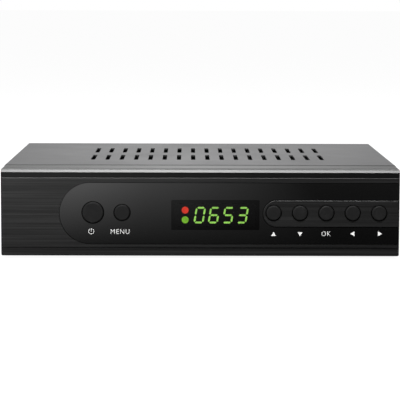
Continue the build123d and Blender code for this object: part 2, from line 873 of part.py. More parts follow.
case_planes = [
    Plane(
        origin=(side * cover_width / 2, front_y + depth, side_screw_level),
        x_dir=(0, 1, 0),
        z_dir=(side, 0, 0),
    )
    for side in (-1, 1)
    for depth in side_screw_depths
]
case_planes += [
    Plane(origin=(x, front_y + housing_depth, cover_top - cover_lip / 2), x_dir=(1, 0, 0), z_dir=(0, 1, 0))
    for x in (-lip_screw_x, lip_screw_x)
]
case_planes += [Plane(origin=(av_x, front_y + rear_outer, AV_LEVEL), x_dir=(1, 0, 0), z_dir=(0, 1, 0))]
case_screws = place_all(machine_screw, case_planes)
save(case_screws, "case_screws")

board_planes = [Plane(origin=(x, front_y + depth, board_top)) for x, depth in standoff_places]
board_screws = place_all(machine_screw, board_planes)
save(board_screws, "board_screws")

with BuildPart() as rubber_feet:
    with BuildSketch(Plane.XY):
        with Locations(*FEET):
            Circle(foot_radius)
    extrude(amount=floor_bottom)
    with BuildSketch(Plane.XY.offset(floor_bottom)):
        with Locations(*FEET):
            Circle(foot_stem_radius)
    extrude(amount=foot_stem_height)
save(rubber_feet.part, "rubber_feet")

# ------------------------------------------------------------ main board and what stands on it
STANDOFFS = [(x, front_y + depth) for x, depth in standoff_places]

with BuildPart() as board_standoffs:
    with BuildSketch(Plane.XY.offset(floor_top)):
        with Locations(*STANDOFFS):
            RegularPolygon(standoff_radius, 6)
    extrude(amount=standoff_height)
    with BuildSketch(Plane.XY.offset(floor_top)):
        with Locations(*STANDOFFS):
            Circle(machine_pilot_radius)
    extrude(amount=standoff_height, mode=Mode.SUBTRACT)
save(board_standoffs.part, "board_standoffs")

with BuildPart() as main_board:
    with BuildSketch(Plane.XY.offset(board_bottom)):
        with Locations((0, front_y + board_middle)):
            Rectangle(board_width, board_rear - board_front)
        with Locations(*STANDOFFS):
            Circle(machine_shank_radius + screw_clearance, mode=Mode.SUBTRACT)
    extrude(amount=board_thickness)
save(main_board.part, "main_board")

with BuildPart() as main_processor:
    with BuildSketch(Plane.XY.offset(board_top)):
        with Locations((0, front_y + processor_place)):
            Rectangle(processor_size, processor_size)
    extrude(amount=processor_height)
save(main_processor.part, "main_processor")

with BuildPart() as heatsink:
    fin_pitch = (heatsink_size - fin_thickness) / (fin_count - 1)
    with BuildSketch(Plane.XY.offset(board_top + processor_height)):
        with Locations((0, front_y + processor_place)):
            Rectangle(heatsink_size, heatsink_size)
    extrude(amount=heatsink_base)
    with BuildSketch(Plane.XY.offset(board_top + processor_height + heatsink_base)):
        with Locations((0, front_y + processor_place)):
            with GridLocations(fin_pitch, 1, fin_count, 1):
                Rectangle(fin_thickness, heatsink_size)
    extrude(amount=heatsink_height - heatsink_base)
save(heatsink.part, "heatsink")

with BuildPart() as memory_chips:
    with BuildSketch(Plane.XY.offset(board_top)):
        with Locations(*[(x, front_y + depth) for x, depth in memory_places]):
            Rectangle(memory_width, memory_length)
    extrude(amount=memory_height)
save(memory_chips.part, "memory_chips")

with BuildPart() as capacitors:
    with BuildSketch(Plane.XY.offset(board_top)):
        with Locations(*[(x, front_y + depth) for x, depth in capacitor_places]):
            Circle(capacitor_radius)
    extrude(amount=capacitor_height)
save(capacitors.part, "capacitors")

with BuildPart() as ribbon_cable:
    # It leaves the back of the front board level, and turns down onto the main board.
    with BuildLine(Plane.YZ.offset(ribbon_x)) as ribbon_path:
        FilletPolyline(
            (front_y + front_board_back, ribbon_level),
            (front_y + ribbon_end, ribbon_level),
            (front_y + ribbon_end, board_top),
            radius=ribbon_bend,
        )
    with BuildSketch(Plane(origin=ribbon_path.line @ 0, x_dir=(1, 0, 0), z_dir=ribbon_path.line % 0)):
        Rectangle(ribbon_width, ribbon_thickness)
    sweep(path=ribbon_path.line)
save(ribbon_cable.part, "ribbon_cable")

# ------------------------------------------------------------ tuners and their sockets
for name, can_x, can_width in (
    ("satellite_tuner", satellite_can_x, satellite_can_width),
    ("aerial_tuner", aerial_can_x, aerial_can_width),
):
    with BuildPart() as can:
        with BuildSketch(upright(rear_inner)):
            with Locations((can_x, board_top)):
                Rectangle(can_width, can_height, align=(Align.CENTER, Align.MIN))
        extrude(amount=can_depth)
    save(can.part, name)

for name, place in zip(("lnb_input", "lnb_output"), LNB_PLACES):
    with BuildPart() as barrel:
        # A root through the wall and the nut, then the thread that the plug turns onto.
        with BuildSketch(upright(rear_inner)):
            with Locations(place):
                Circle(lnb_root_radius)
        extrude(amount=-(sheet + lnb_nut_thickness))
        with BuildSketch(upright(rear_outer + lnb_nut_thickness)):
            with Locations(place):
                Circle(lnb_barrel_radius)
        extrude(amount=-(lnb_barrel_length - lnb_nut_thickness))
        with BuildSketch(upright(rear_reach)):
            with Locations(place):
                Circle(lnb_bore_radius)
        extrude(amount=lnb_bore_depth, mode=Mode.SUBTRACT)
    save(barrel.part, name)

with BuildPart() as lnb_nuts:
    with BuildSketch(upright(rear_outer)):
        with Locations(*LNB_PLACES):
            RegularPolygon(lnb_nut_flats / 2, 6, major_radius=False)
        with Locations(*LNB_PLACES):
            Circle(lnb_root_radius + thread_clearance, mode=Mode.SUBTRACT)
    extrude(amount=-lnb_nut_thickness)
save(lnb_nuts.part, "lnb_nuts")

with BuildPart() as lnb_insulators:
    with BuildSketch(upright(rear_reach - insulator_recess)):
        with Locations(*LNB_PLACES):
            Circle(lnb_bore_radius - thread_clearance)
        with Locations(*LNB_PLACES):
            Circle(insulator_hole_radius, mode=Mode.SUBTRACT)
    extrude(amount=lnb_bore_depth - insulator_recess)
save(lnb_insulators.part, "lnb_insulators")

with BuildPart() as aerial_input:
    # A tube for the plug's shell, closed at its root, with a hollow contact in the middle.
    with BuildSketch(upright(rear_inner)):
        with Locations((aerial_input_x, can_axis)):
            Circle(aerial_shell_radius - aerial_root_step)
    extrude(amount=-sheet)
    with BuildSketch(upright(rear_outer)):
        with Locations((aerial_input_x, can_axis)):
            Circle(aerial_shell_radius)
    extrude(amount=-aerial_length)
    with BuildSketch(upright(rear_outer + aerial_length)):
        with Locations((aerial_input_x, can_axis)):
            Circle(aerial_shell_radius - aerial_shell_wall)
            Circle(aerial_contact_radius, mode=Mode.SUBTRACT)
            Circle(aerial_contact_bore)
    extrude(amount=aerial_length, mode=Mode.SUBTRACT)
save(aerial_input.part, "aerial_input")

with BuildPart() as aerial_output:
    # A wider tube with a solid pin in the middle.
    with BuildSketch(upright(rear_inner)):
        with Locations((aerial_output_x, can_axis)):
            Circle(aerial_output_radius - aerial_root_step)
    extrude(amount=-sheet)
    with BuildSketch(upright(rear_outer)):
        with Locations((aerial_output_x, can_axis)):
            Circle(aerial_output_radius)
    extrude(amount=-aerial_length)
    with BuildSketch(upright(rear_outer + aerial_length)):
        with Locations((aerial_output_x, can_axis)):
            Circle(aerial_output_radius - aerial_shell_wall)
            Circle(aerial_pin_radius, mode=Mode.SUBTRACT)
    extrude(amount=aerial_length, mode=Mode.SUBTRACT)
save(aerial_output.part, "aerial_output")

# ------------------------------------------------------------ square sockets
socket_face = rear_outer + socket_proud

with BuildPart() as digital_video_socket:
    with BuildSketch(upright(socket_face)) as shell_view:
        with Locations((video_socket_x, board_top)):
            Rectangle(video_socket_width, video_socket_height, align=(Align.CENTER, Align.MIN))
        chamfer(shell_view.vertices().group_by(Axis.Y)[0], length=video_chamfer)
    extrude(amount=video_length)
    with BuildSketch(upright(socket_face)) as opening_view:
        with Locations((video_socket_x, board_top + video_socket_height / 2)):
            Rectangle(video_opening_width, video_opening_height)
        chamfer(opening_view.vertices().group_by(Axis.Y)[0], length=video_chamfer)
    extrude(amount=video_cavity, mode=Mode.SUBTRACT)
save(digital_video_socket.part, "digital_video_socket")

with BuildPart() as digital_video_tongue:
    with BuildSketch(upright(socket_face - video_cavity)):
        with Locations((video_socket_x, board_top + video_socket_height / 2)):
            Rectangle(tongue_width, tongue_thickness)
    extrude(amount=-tongue_length)
save(digital_video_tongue.part, "digital_video_tongue")

with BuildPart() as data_socket:
    with BuildSketch(upright(socket_face)):
        with Locations((data_x, board_top)):
            Rectangle(data_width, data_height, align=(Align.CENTER, Align.MIN))
    extrude(amount=data_length)
    with BuildSketch(upright(socket_face)):
        with Locations((data_x, board_top + data_height / 2)):
            Rectangle(data_opening_width, data_opening_height)
    extrude(amount=data_cavity, mode=Mode.SUBTRACT)
save(data_socket.part, "data_socket")

with BuildPart() as data_tongue:
    with BuildSketch(upright(socket_face - data_cavity)):
        with Locations((data_x, board_top + (data_height + data_opening_height) / 2 - data_tongue_drop)):
            Rectangle(data_tongue_width, data_tongue_thickness, align=(Align.CENTER, Align.MAX))
    extrude(amount=-data_tongue_length)
save(data_tongue.part, "data_tongue")

with BuildPart() as network_socket:
    with BuildSketch(upright(socket_face)):
        with Locations((network_x, board_top)):
            Rectangle(network_width, network_height, align=(Align.CENTER, Align.MIN))
    extrude(amount=network_length)
    with BuildSketch(upright(socket_face)):
        with Locations((network_x, board_top + network_sill)):
            Rectangle(network_opening_width, network_opening_height, align=(Align.CENTER, Align.MIN))
        with Locations((network_x, board_top + network_sill)):
            Rectangle(network_latch_width, network_latch_height, align=(Align.CENTER, Align.MAX))
    extrude(amount=network_cavity, mode=Mode.SUBTRACT)
save(network_socket.part, "network_socket")

# ------------------------------------------------------------ audio and video jacks
with BuildPart() as av_jack_block:
    with BuildSketch(upright(rear_inner)):
        with Locations((av_x, board_top)):
            Rectangle(av_width, av_height, align=(Align.CENTER, Align.MIN))
    extrude(amount=av_depth)
    with BuildSketch(upright(rear_inner)):
        with Locations((av_x, AV_LEVEL)):
            Circle(machine_pilot_radius)
    extrude(amount=machine_length, mode=Mode.SUBTRACT)
save(av_jack_block.part, "av_jack_block")

collar_face = rear_outer + collar_proud
sleeve_end = collar_face + sleeve_length

for name, place in AV_PLACES.items():
    with BuildPart() as insert:
        # A collar through the rear wall and a core inside the sleeve, with a contact hole.
        with BuildSketch(upright(rear_inner)):
            with Locations(place):
                Circle(collar_radius)
        extrude(amount=-(collar_face - rear_inner))
        with BuildSketch(upright(collar_face)):
            with Locations(place):
                Circle(sleeve_radius - sleeve_wall - thread_clearance)
        extrude(amount=-(sleeve_length - core_recess))
        with BuildSketch(upright(sleeve_end - core_recess)):
            with Locations(place):
                Circle(contact_bore_radius)
        extrude(amount=contact_bore_depth, mode=Mode.SUBTRACT)
    save(insert.part, name)

with BuildPart() as av_jack_sleeves:
    with BuildSketch(upright(collar_face)):
        with Locations(*AV_PLACES.values()):
            Circle(sleeve_radius)
        with Locations(*AV_PLACES.values()):
            Circle(sleeve_radius - sleeve_wall, mode=Mode.SUBTRACT)
    extrude(amount=-sleeve_length)
save(av_jack_sleeves.part, "av_jack_sleeves")

# ------------------------------------------------------------ low-voltage inlet
with BuildPart() as dc_inlet:
    with BuildSketch(upright(socket_face)):
        with Locations((dc_x, board_top)):
            Rectangle(dc_width, dc_height, align=(Align.CENTER, Align.MIN))
    extrude(amount=dc_length)
    with BuildSketch(upright(socket_face)):
        with Locations((dc_x, board_top + dc_level)):
            Circle(dc_bore_radius)
    extrude(amount=dc_bore_depth, mode=Mode.SUBTRACT)
save(dc_inlet.part, "dc_inlet")

with BuildPart() as dc_pin:
    with BuildSketch(upright(socket_face - dc_bore_depth)):
        with Locations((dc_x, board_top + dc_level)):
            Circle(dc_pin_radius)
    extrude(amount=-dc_pin_length)
save(dc_pin.part, "dc_pin")

# ------------------------------------------------------------ rocker switch
switch_face = rear_outer + switch_flange
rocker_axis_y = switch_face - rocker_axis_depth
rocker_rise = rocker_width / 2 * tan(radians(rocker_tilt))
rocker_crest = rocker_axis_depth + rocker_rise
rocker_reach = rocker_width / 2 * cos(radians(rocker_tilt)) + rocker_crest * sin(radians(rocker_tilt))
well_depth = rocker_axis_depth + rocker_heel + rocker_gap + rocker_root * sin(radians(rocker_tilt))

with BuildPart() as switch_body:
    with BuildSketch(upright(rear_outer)):
        with Locations((switch_x, switch_level)):
            Rectangle(switch_flange_width, switch_flange_height)
    extrude(amount=-switch_flange)
    with BuildSketch(upright(rear_outer)):
        with Locations((switch_x, switch_level)):
            Rectangle(switch_body_width, switch_body_height)
    extrude(amount=switch_body_depth)
    # The well that the rocker turns in, with a bore in its floor and roof for the pivot.
    with BuildSketch(upright(switch_face)):
        with Locations((switch_x, switch_level)):
            Rectangle(2 * (rocker_reach + rocker_gap), rocker_height + 2 * rocker_gap)
    extrude(amount=well_depth, mode=Mode.SUBTRACT)
    pivot_reach = rocker_height + 2 * rocker_gap + 2 * rocker_pin_length
    with BuildSketch(Plane.XY.offset(switch_level - pivot_reach / 2)):
        with Locations((switch_x, front_y + rocker_axis_y)):
            Circle(rocker_pin_radius + rocker_pin_clearance)
    extrude(amount=pivot_reach, mode=Mode.SUBTRACT)
    # Two blades that reach down to the board.
    with BuildSketch(Plane.XY.offset(board_top)):
        with Locations((switch_x, front_y + rear_outer - switch_body_depth + terminal_inset)):
            with GridLocations(terminal_spacing, 1, 2, 1):
                Rectangle(terminal_thickness, terminal_width)
    extrude(amount=switch_level - switch_body_height / 2 - board_top)
save(switch_body.part, "switch_body")

with BuildPart() as switch_rocker:
    # Seen from above: a shallow V that shows one end pressed in and the other standing out.
    half_width = rocker_width / 2
    with BuildSketch(Plane.XY.offset(switch_level - rocker_height / 2)):
        with Locations(Location((switch_x, front_y + rocker_axis_y), rocker_tilt)):
            Polygon(
                (-half_width, rocker_crest),
                (0, rocker_axis_depth),
                (half_width, rocker_crest),
                (rocker_root, -rocker_heel),
                (-rocker_root, -rocker_heel),
                align=None,
            )
    extrude(amount=rocker_height)
    with BuildSketch(Plane.XY.offset(switch_level - rocker_height / 2 - rocker_gap - rocker_pin_length / 2)):
        with Locations((switch_x, front_y + rocker_axis_y)):
            Circle(rocker_pin_radius)
    extrude(amount=rocker_height + 2 * rocker_gap + rocker_pin_length)
save(switch_rocker.part, "switch_rocker")
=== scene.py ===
"""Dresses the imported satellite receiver: finishes, printed marks, display, sockets and a stage."""

import json
import math

import bmesh
import bpy
import numpy as np
from bpy.props import FloatProperty, FloatVectorProperty, PointerProperty
from bpy.types import Operator, Panel, PropertyGroup
from mathutils import Matrix, Vector


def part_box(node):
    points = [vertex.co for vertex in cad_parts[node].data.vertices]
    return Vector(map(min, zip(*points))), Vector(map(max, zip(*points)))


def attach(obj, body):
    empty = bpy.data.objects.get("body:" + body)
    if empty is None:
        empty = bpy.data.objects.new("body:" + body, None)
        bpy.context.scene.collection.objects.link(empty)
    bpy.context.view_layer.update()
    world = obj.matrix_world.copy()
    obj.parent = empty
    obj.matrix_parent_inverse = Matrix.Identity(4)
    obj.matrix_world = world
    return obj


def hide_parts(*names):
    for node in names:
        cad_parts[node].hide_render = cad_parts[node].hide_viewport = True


bl_info = {
    "name": "Satellite Receiver",
    "version": (1, 0, 0),
    "blender": (4, 5, 0),
    "location": "3D View > Sidebar > Receiver",
    "description": "Finishes, printed marks, display, sockets and stage for the packed receiver",
    "category": "Object",
}

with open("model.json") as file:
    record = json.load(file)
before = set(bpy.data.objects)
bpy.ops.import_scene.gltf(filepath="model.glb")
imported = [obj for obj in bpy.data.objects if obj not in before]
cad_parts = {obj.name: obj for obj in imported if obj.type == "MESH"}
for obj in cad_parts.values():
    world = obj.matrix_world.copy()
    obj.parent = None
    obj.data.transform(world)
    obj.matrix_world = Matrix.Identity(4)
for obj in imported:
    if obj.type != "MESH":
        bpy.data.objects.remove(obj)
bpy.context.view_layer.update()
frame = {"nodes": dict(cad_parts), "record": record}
NODES = frame["nodes"]
MM = 0.001
KEYS = ("power", "menu", "up", "down", "ok", "left", "right")
BLACK = (0.0, 0.0, 0.0, 1.0)
WHITE = (1.0, 1.0, 1.0, 1.0)


# ------------------------------------------------------------ what a user would change
def colour_setting(name, description, default):
    """A colour that a user can change."""
    return FloatVectorProperty(name=name, description=description, default=default,
                               subtype="COLOR", size=3, min=0.0, max=1.0)


def length_setting(name, description, millimetres):
    """A length that a user can change."""
    return FloatProperty(name=name, description=description, default=millimetres * MM,
                         subtype="DISTANCE", unit="LENGTH", min=0.0)


def angle_setting(name, description, degrees):
    """An angle that a user can change."""
    return FloatProperty(name=name, description=description, default=math.radians(degrees),
                         subtype="ANGLE", unit="ROTATION")


def power_setting(name, description, watts):
    """A lamp's power that a user can change."""
    return FloatProperty(name=name, description=description, default=watts,
                         subtype="POWER", unit="POWER", min=0.0)


class ReceiverColours(PropertyGroup):
    """Colours of the receiver's finishes."""

    coat: colour_setting(
        "Sheet coat", "Powder coat on the cover and the chassis", (0.022, 0.022, 0.023))
    moulding: colour_setting(
        "Moulding", "Brushed black of the front moulding", (0.031, 0.031, 0.031))
    gloss: colour_setting(
        "Glossy panel", "Polished black of the front panel", (0.0025, 0.0025, 0.0025))
    keys: colour_setting("Keys", "Satin black of the key caps", (0.006, 0.006, 0.006))
    print: colour_setting("Print", "White of the printed marks", (0.64, 0.64, 0.63))
    lit_green: colour_setting("Lit green", "Light of the digits", (0.30, 0.64, 0.10))
    lamp_green: colour_setting("Green lamp", "Light of the lower lamp", (0.18, 0.45, 0.026))
    lamp_red: colour_setting("Red lamp", "Light of the upper lamp", (0.66, 0.036, 0.016))
    nickel: colour_setting("Nickel", "Plating of the round sockets", (0.72, 0.70, 0.66))


class ReceiverSizes(PropertyGroup):
    """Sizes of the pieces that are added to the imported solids."""

    print_thickness: length_setting(
        "Print thickness", "How far a printed mark stands off its surface", 0.03)
    menu_width: length_setting("MENU width", "Width of the word under the menu key", 10.3)
    ok_width: length_setting("OK width", "Width of the word under the OK key", 4.95)
    letter_height: length_setting("Letter height", "Height of the words under the keys", 2.6)
    arrow: length_setting("Arrow", "Longest side of an arrow mark", 2.68)
    power_ring: length_setting("Power mark", "Outer diameter of the power mark's ring", 3.2)
    stroke: length_setting("Stroke", "Line width of the power mark", 0.27)
    rear_letter: length_setting("Rear letters", "Height of the words over the rear sockets", 2.0)
    nut_flats: length_setting(
        "Nut width", "Width across the flats of the satellite sockets' nuts", 11.0)
    thread_pitch: length_setting("Thread pitch", "Pitch of the satellite sockets' thread", 0.794)
    thread_depth: length_setting("Thread depth", "Depth of the satellite sockets' thread", 0.42)


class ReceiverStage(PropertyGroup):
    """Camera, lamps and even light."""

    camera_place: FloatVectorProperty(
        name="Camera place", description="Where the camera stands",
        subtype="TRANSLATION", unit="LENGTH", size=3, default=(-0.00618, -0.97895, 0.14303),
    )
    camera_pitch: angle_setting("Camera pitch", "How far the camera looks down", 5.6)
    camera_yaw: angle_setting("Camera yaw", "How far the camera turns towards +X", 0.376)
    camera_roll: angle_setting("Camera roll", "How far the camera leans", 0.182)
    lens: FloatProperty(
        name="Lens", description="Focal length for a 36 mm wide sensor, in millimetres",
        default=147.4, min=10.0,
    )
    shift: FloatProperty(
        name="Shift", description="Vertical shift of the camera, as a share of its sensor",
        subtype="FACTOR", default=-0.1, min=-0.3, max=0.3,
    )
    ceiling: power_setting("Ceiling light", "Power of the long soft light above the rear", 12.0)
    key: power_setting("Key light", "Power of the soft light above the front", 18.0)
    side: power_setting("Side light", "Power of the soft light at the front left", 12.0)
    ambient: FloatProperty(
        name="Ambient", description="Strength of the even light from all round",
        subtype="FACTOR", default=0.35, min=0.0, max=2.0,
    )


# ------------------------------------------------------------ mesh helpers
# Points that are nearer than this become one, and edges that turn further than this stay sharp.
WELD = 2e-7
SHARP = math.radians(35)
# Space between letters, as a share of the font's own, and the steps of a letter's curves
LETTER_SPACING = 1.16
LETTER_STEPS = 3


def placed(name, data):
    """Add an object to the scene."""
    made = bpy.data.objects.new(name, data)
    bpy.context.scene.collection.objects.link(made)
    return made


def middle(node):
    """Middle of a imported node's box."""
    low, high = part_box(node)
    return (low + high) / 2


def round_box(node):
    """Centre in X and Z, radius, back and rim of a round node that lies along Y."""
    low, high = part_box(node)
    centre = middle(node)
    return (centre.x, centre.z), (high.x - low.x) / 2, low.y, high.y


def piece(name, shells, finish, body="case", smooth=True, replaces=()):
    """Join closed shells into one welded object that rides on a body.

    A shell is its points and a list of arrays, each of which holds faces with one number of
    corners.
    """
    points = []
    faces = []
    start = 0
    for shell_points, blocks in shells:
        flat = np.asarray(shell_points, float).reshape(-1, 3)
        points.append(flat)
        for block in blocks:
            faces += (np.asarray(block) + start).tolist()
        start += len(flat)
    mesh = bpy.data.meshes.new(name)
    mesh.from_pydata(np.concatenate(points).tolist(), [], faces)
    shape = bmesh.new()
    shape.from_mesh(mesh)
    bmesh.ops.remove_doubles(shape, verts=shape.verts, dist=WELD)
    bmesh.ops.recalc_face_normals(shape, faces=shape.faces)
    shape.to_mesh(mesh)
    shape.free()
    mesh.materials.append(finish)
    if smooth:
        mesh.shade_smooth()
        mesh.set_sharp_from_angle(angle=SHARP)
    made = placed(name, mesh)
    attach(made, body)
    if replaces:
        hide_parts(*replaces)


def grid_faces(rows, columns, wrap_rows=False, wrap_columns=False):
    """Quads of a grid, each of four neighbours; a wrapped side joins its last line to its first."""
    i = np.arange(rows if wrap_rows else rows - 1)
    j = np.arange(columns if wrap_columns else columns - 1)
    i, j = np.meshgrid(i, j, indexing="ij")
    here, below = i * columns, (i + 1) % rows * columns
    beside = (j + 1) % columns
    return np.stack([here + j, below + j, below + beside, here + beside], -1).reshape(-1, 4)


def spaced(count, pitch):
    """Evenly spaced places about zero: each number less the middle one, times the pitch."""
    return (np.arange(count) - (count - 1) / 2) * pitch


def arc(centre, radius, start, end, count):
    """Points of an arc: the centre plus the radius times the cosine and sine of even angles."""
    angle = np.radians(np.linspace(start, end, count))
    return np.column_stack([centre[0] + radius * np.cos(angle), centre[1] + radius * np.sin(angle)])


def rectangle(half_width, half_height):
    """Corners of a rectangle about zero, anticlockwise."""
    return np.array([(-1, -1), (1, -1), (1, 1), (-1, 1)]) * (half_width, half_height)


def rounded(corners, radius, count=4):
    """Round a polygon's corners: each becomes a curve of two tangents, bent from side to side."""
    corners = np.asarray(corners, float)
    ahead = np.roll(corners, -1, 0) - corners
    behind = np.roll(corners, 1, 0) - corners
    ahead /= np.linalg.norm(ahead, axis=1)[:, None]
    behind /= np.linalg.norm(behind, axis=1)[:, None]
    t = np.linspace(0, 1, count)[None, :, None]
    first, last = (corners + behind * radius)[:, None], (corners + ahead * radius)[:, None]
    bend = corners[:, None]
    return ((1 - t) ** 2 * first + 2 * t * (1 - t) * bend + t ** 2 * last).reshape(-1, 2)


def turned(profile, centre, sides=48, axis="Y", ring=True):
    """Carry a profile of radius and height round an axis along Y or Z.

    Across the axis, a point is the centre plus the radius times the cosine and the sine of the
    angle. The radius and the height may also change with the angle. A ring's profile closes on
    itself; any other one starts and ends on the axis.
    """
    radius, height = (np.asarray(part, float) for part in profile)
    if radius.ndim == 1:
        radius, height = (np.repeat(part[:, None], sides, axis=1) for part in (radius, height))
    angle = np.linspace(0.0, 2 * np.pi, sides, endpoint=False)
    first = centre[0] + radius * np.cos(angle)
    second = centre[1] + radius * np.sin(angle)
    points = np.stack([first, height, second] if axis == "Y" else [first, second, height], -1)
    return points, [grid_faces(len(radius), sides, wrap_rows=ring, wrap_columns=True)]


def lipped_tube(outer, inner, back, rim, lip):
    """Profile of a tube with straight walls, whose rim is two quarter circles."""
    outside = arc((outer - lip, rim - lip), lip, 0, 90, 5)
    inside = arc((inner + lip, rim - lip), lip, 90, 180, 5)
    return np.concatenate([[(inner, back), (outer, back)], outside, inside]).T


def strip(middle_x, path, width, thickness):
    """Carry a flat rectangle along a path of Y and Z.

    At each point its corners stand half the width to each side and half the thickness along the
    normal.
    """
    path = np.asarray(path, float)
    ahead = np.gradient(path, axis=0)
    ahead /= np.linalg.norm(ahead, axis=1)[:, None]
    normal = np.stack([-ahead[:, 1], ahead[:, 0]], -1) * thickness / 2
    across = middle_x + np.array([-1.0, 1.0, 1.0, -1.0]) * width / 2
    level = path[:, None] + np.array([-1.0, -1.0, 1.0, 1.0])[None, :, None] * normal[:, None]
    across = np.broadcast_to(across[None, :, None], (len(path), 4, 1))
    end = np.arange(4)[None]
    faces = [grid_faces(len(path), 4, wrap_columns=True), end, end + 4 * (len(path) - 1)]
    return np.concatenate([across, level], -1), faces


def slab(outline, front, back, edge=0.0, steps=4):
    """Carry a closed outline of X and Z from its front to its back, in either direction of Y.

    An outline that runs anticlockwise may have a rounded front edge: each ring is the outline moved
    inwards by edge times one minus the sine of an angle, at a depth of edge times one minus the
    cosine. At a sharp corner that move is limited. Flat caps close both ends.
    """
    outline = np.asarray(outline, float)
    ahead = np.roll(outline, -1, 0) - outline
    normal = np.stack([ahead[:, 1], -ahead[:, 0]], -1) / np.linalg.norm(ahead, axis=1)[:, None]
    outward = normal + np.roll(normal, 1, 0)
    outward /= np.maximum((outward * normal).sum(1), 0.2)[:, None]
    angle = np.linspace(0.0, np.pi / 2, steps) if edge > 0 else np.zeros(1)
    inset = np.append(edge * (1 - np.sin(angle)), 0.0)
    depth = np.append(front + math.copysign(edge, back - front) * (1 - np.cos(angle)), back)
    flat = outline - outward * inset[:, None, None]
    level = np.broadcast_to(depth[:, None], flat.shape[:2])
    end = np.arange(len(outline))[None]
    faces = [grid_faces(len(depth), len(outline), wrap_columns=True), end,
             end + (len(depth) - 1) * len(outline)]
    return np.stack([flat[..., 0], level, flat[..., 1]], -1), faces


def lettering(text, centre, width, height, front, thickness, weight=0.0, facing=-1):
    """Outline letters as a thin solid on an upright face that looks along facing times Y.

    They are fitted to the height, and to the width if there is one. The weight moves their outline
    outwards, as a share of the font's size.
    """
    curve = bpy.data.curves.new("letters", "FONT")
    curve.body = text
    curve.extrude = 0.5
    curve.offset = weight
    curve.space_character = LETTER_SPACING
    curve.resolution_u = LETTER_STEPS
    holder = placed("letters", curve)
    bpy.context.view_layer.update()
    evaluated = holder.evaluated_get(bpy.context.evaluated_depsgraph_get())
    mesh = bpy.data.meshes.new_from_object(evaluated)
    flat = np.zeros(len(mesh.vertices) * 3)
    mesh.vertices.foreach_get("co", flat)
    flat = flat.reshape(-1, 3)
    mesh.calc_loop_triangles()
    faces = np.zeros(len(mesh.loop_triangles) * 3, int)
    mesh.loop_triangles.foreach_get("vertices", faces)
    bpy.data.objects.remove(holder)
    bpy.data.curves.remove(curve)
    bpy.data.meshes.remove(mesh)
    low, high = flat.min(0), flat.max(0)
    size = high - low
    scale = width / size[0] if width else height / size[1]
    across = (flat[:, 0] - (low[0] + high[0]) / 2) * scale
    upward = (flat[:, 1] - (low[1] + high[1]) / 2) * height / size[1]
    deep = (flat[:, 2] - low[2]) / size[2] * thickness
    points = np.column_stack([
        centre[0] - facing * across, front + facing * deep, centre[1] + upward,
    ])
    return points, [faces.reshape(-1, 3)]


# ------------------------------------------------------------ node trees
# Places of the factor, the two values and the result among a Mix node's sockets
MIX_SOCKETS = {"RGBA": (0, 6, 7, 2), "FLOAT": (0, 2, 3, 0)}


class Graph:
    """A node tree that is built step by step."""

    def __init__(self, tree):
        self.tree = tree

    def node(self, kind, **values):
        """Add a node and set its properties and inputs."""
        made = self.tree.nodes.new(kind)
        for name, value in values.items():
            if hasattr(made, name):
                setattr(made, name, value)
            else:
                made.inputs[name.replace("_", " ")].default_value = value
        return made

    def feed(self, value, socket):
        """Give an input its value, which is an output, a number or a colour."""
        if isinstance(value, bpy.types.NodeSocket):
            self.tree.links.new(value, socket)
        else:
            socket.default_value = value

    def axes(self, kind="Object"):
        """Coordinates or a normal, as the kind says, with one output for each axis."""
        split = self.node("ShaderNodeSeparateXYZ")
        self.feed(self.node("ShaderNodeTexCoord").outputs[kind], split.inputs["Vector"])
        return split.outputs

    def rays(self):
        """Outputs for rays from the camera, and for rays that were mirrored or let through."""
        path = self.node("ShaderNodeLightPath").outputs
        gloss = self.maths("MAXIMUM", path["Is Glossy Ray"], path["Is Transmission Ray"])
        return path["Is Camera Ray"], gloss

    def maths(self, operation, *values):
        """Join values, each an output or a number, by one arithmetic step."""
        made = self.node("ShaderNodeMath", operation=operation)
        for socket, value in zip(made.inputs, values):
            self.feed(value, socket)
        return made.outputs[0]

    def ranged(self, value, low, high, start=0.3, end=0.7):
        """Spread a value from its own range, start to end, to a new one, low to high."""
        spread = self.node("ShaderNodeMapRange", From_Min=start, From_Max=end,
                           To_Min=low, To_Max=high)
        self.feed(value, spread.inputs["Value"])
        return spread.outputs["Result"]

    def mixed(self, factor, first, second, kind="RGBA"):
        """Blend two values of a kind by a factor; each of the three may be an output."""
        *places, result = MIX_SOCKETS[kind]
        mix = self.node("ShaderNodeMix", data_type=kind)
        for place, value in zip(places, (factor, first, second)):
            self.feed(value, mix.inputs[place])
        return mix.outputs[result]


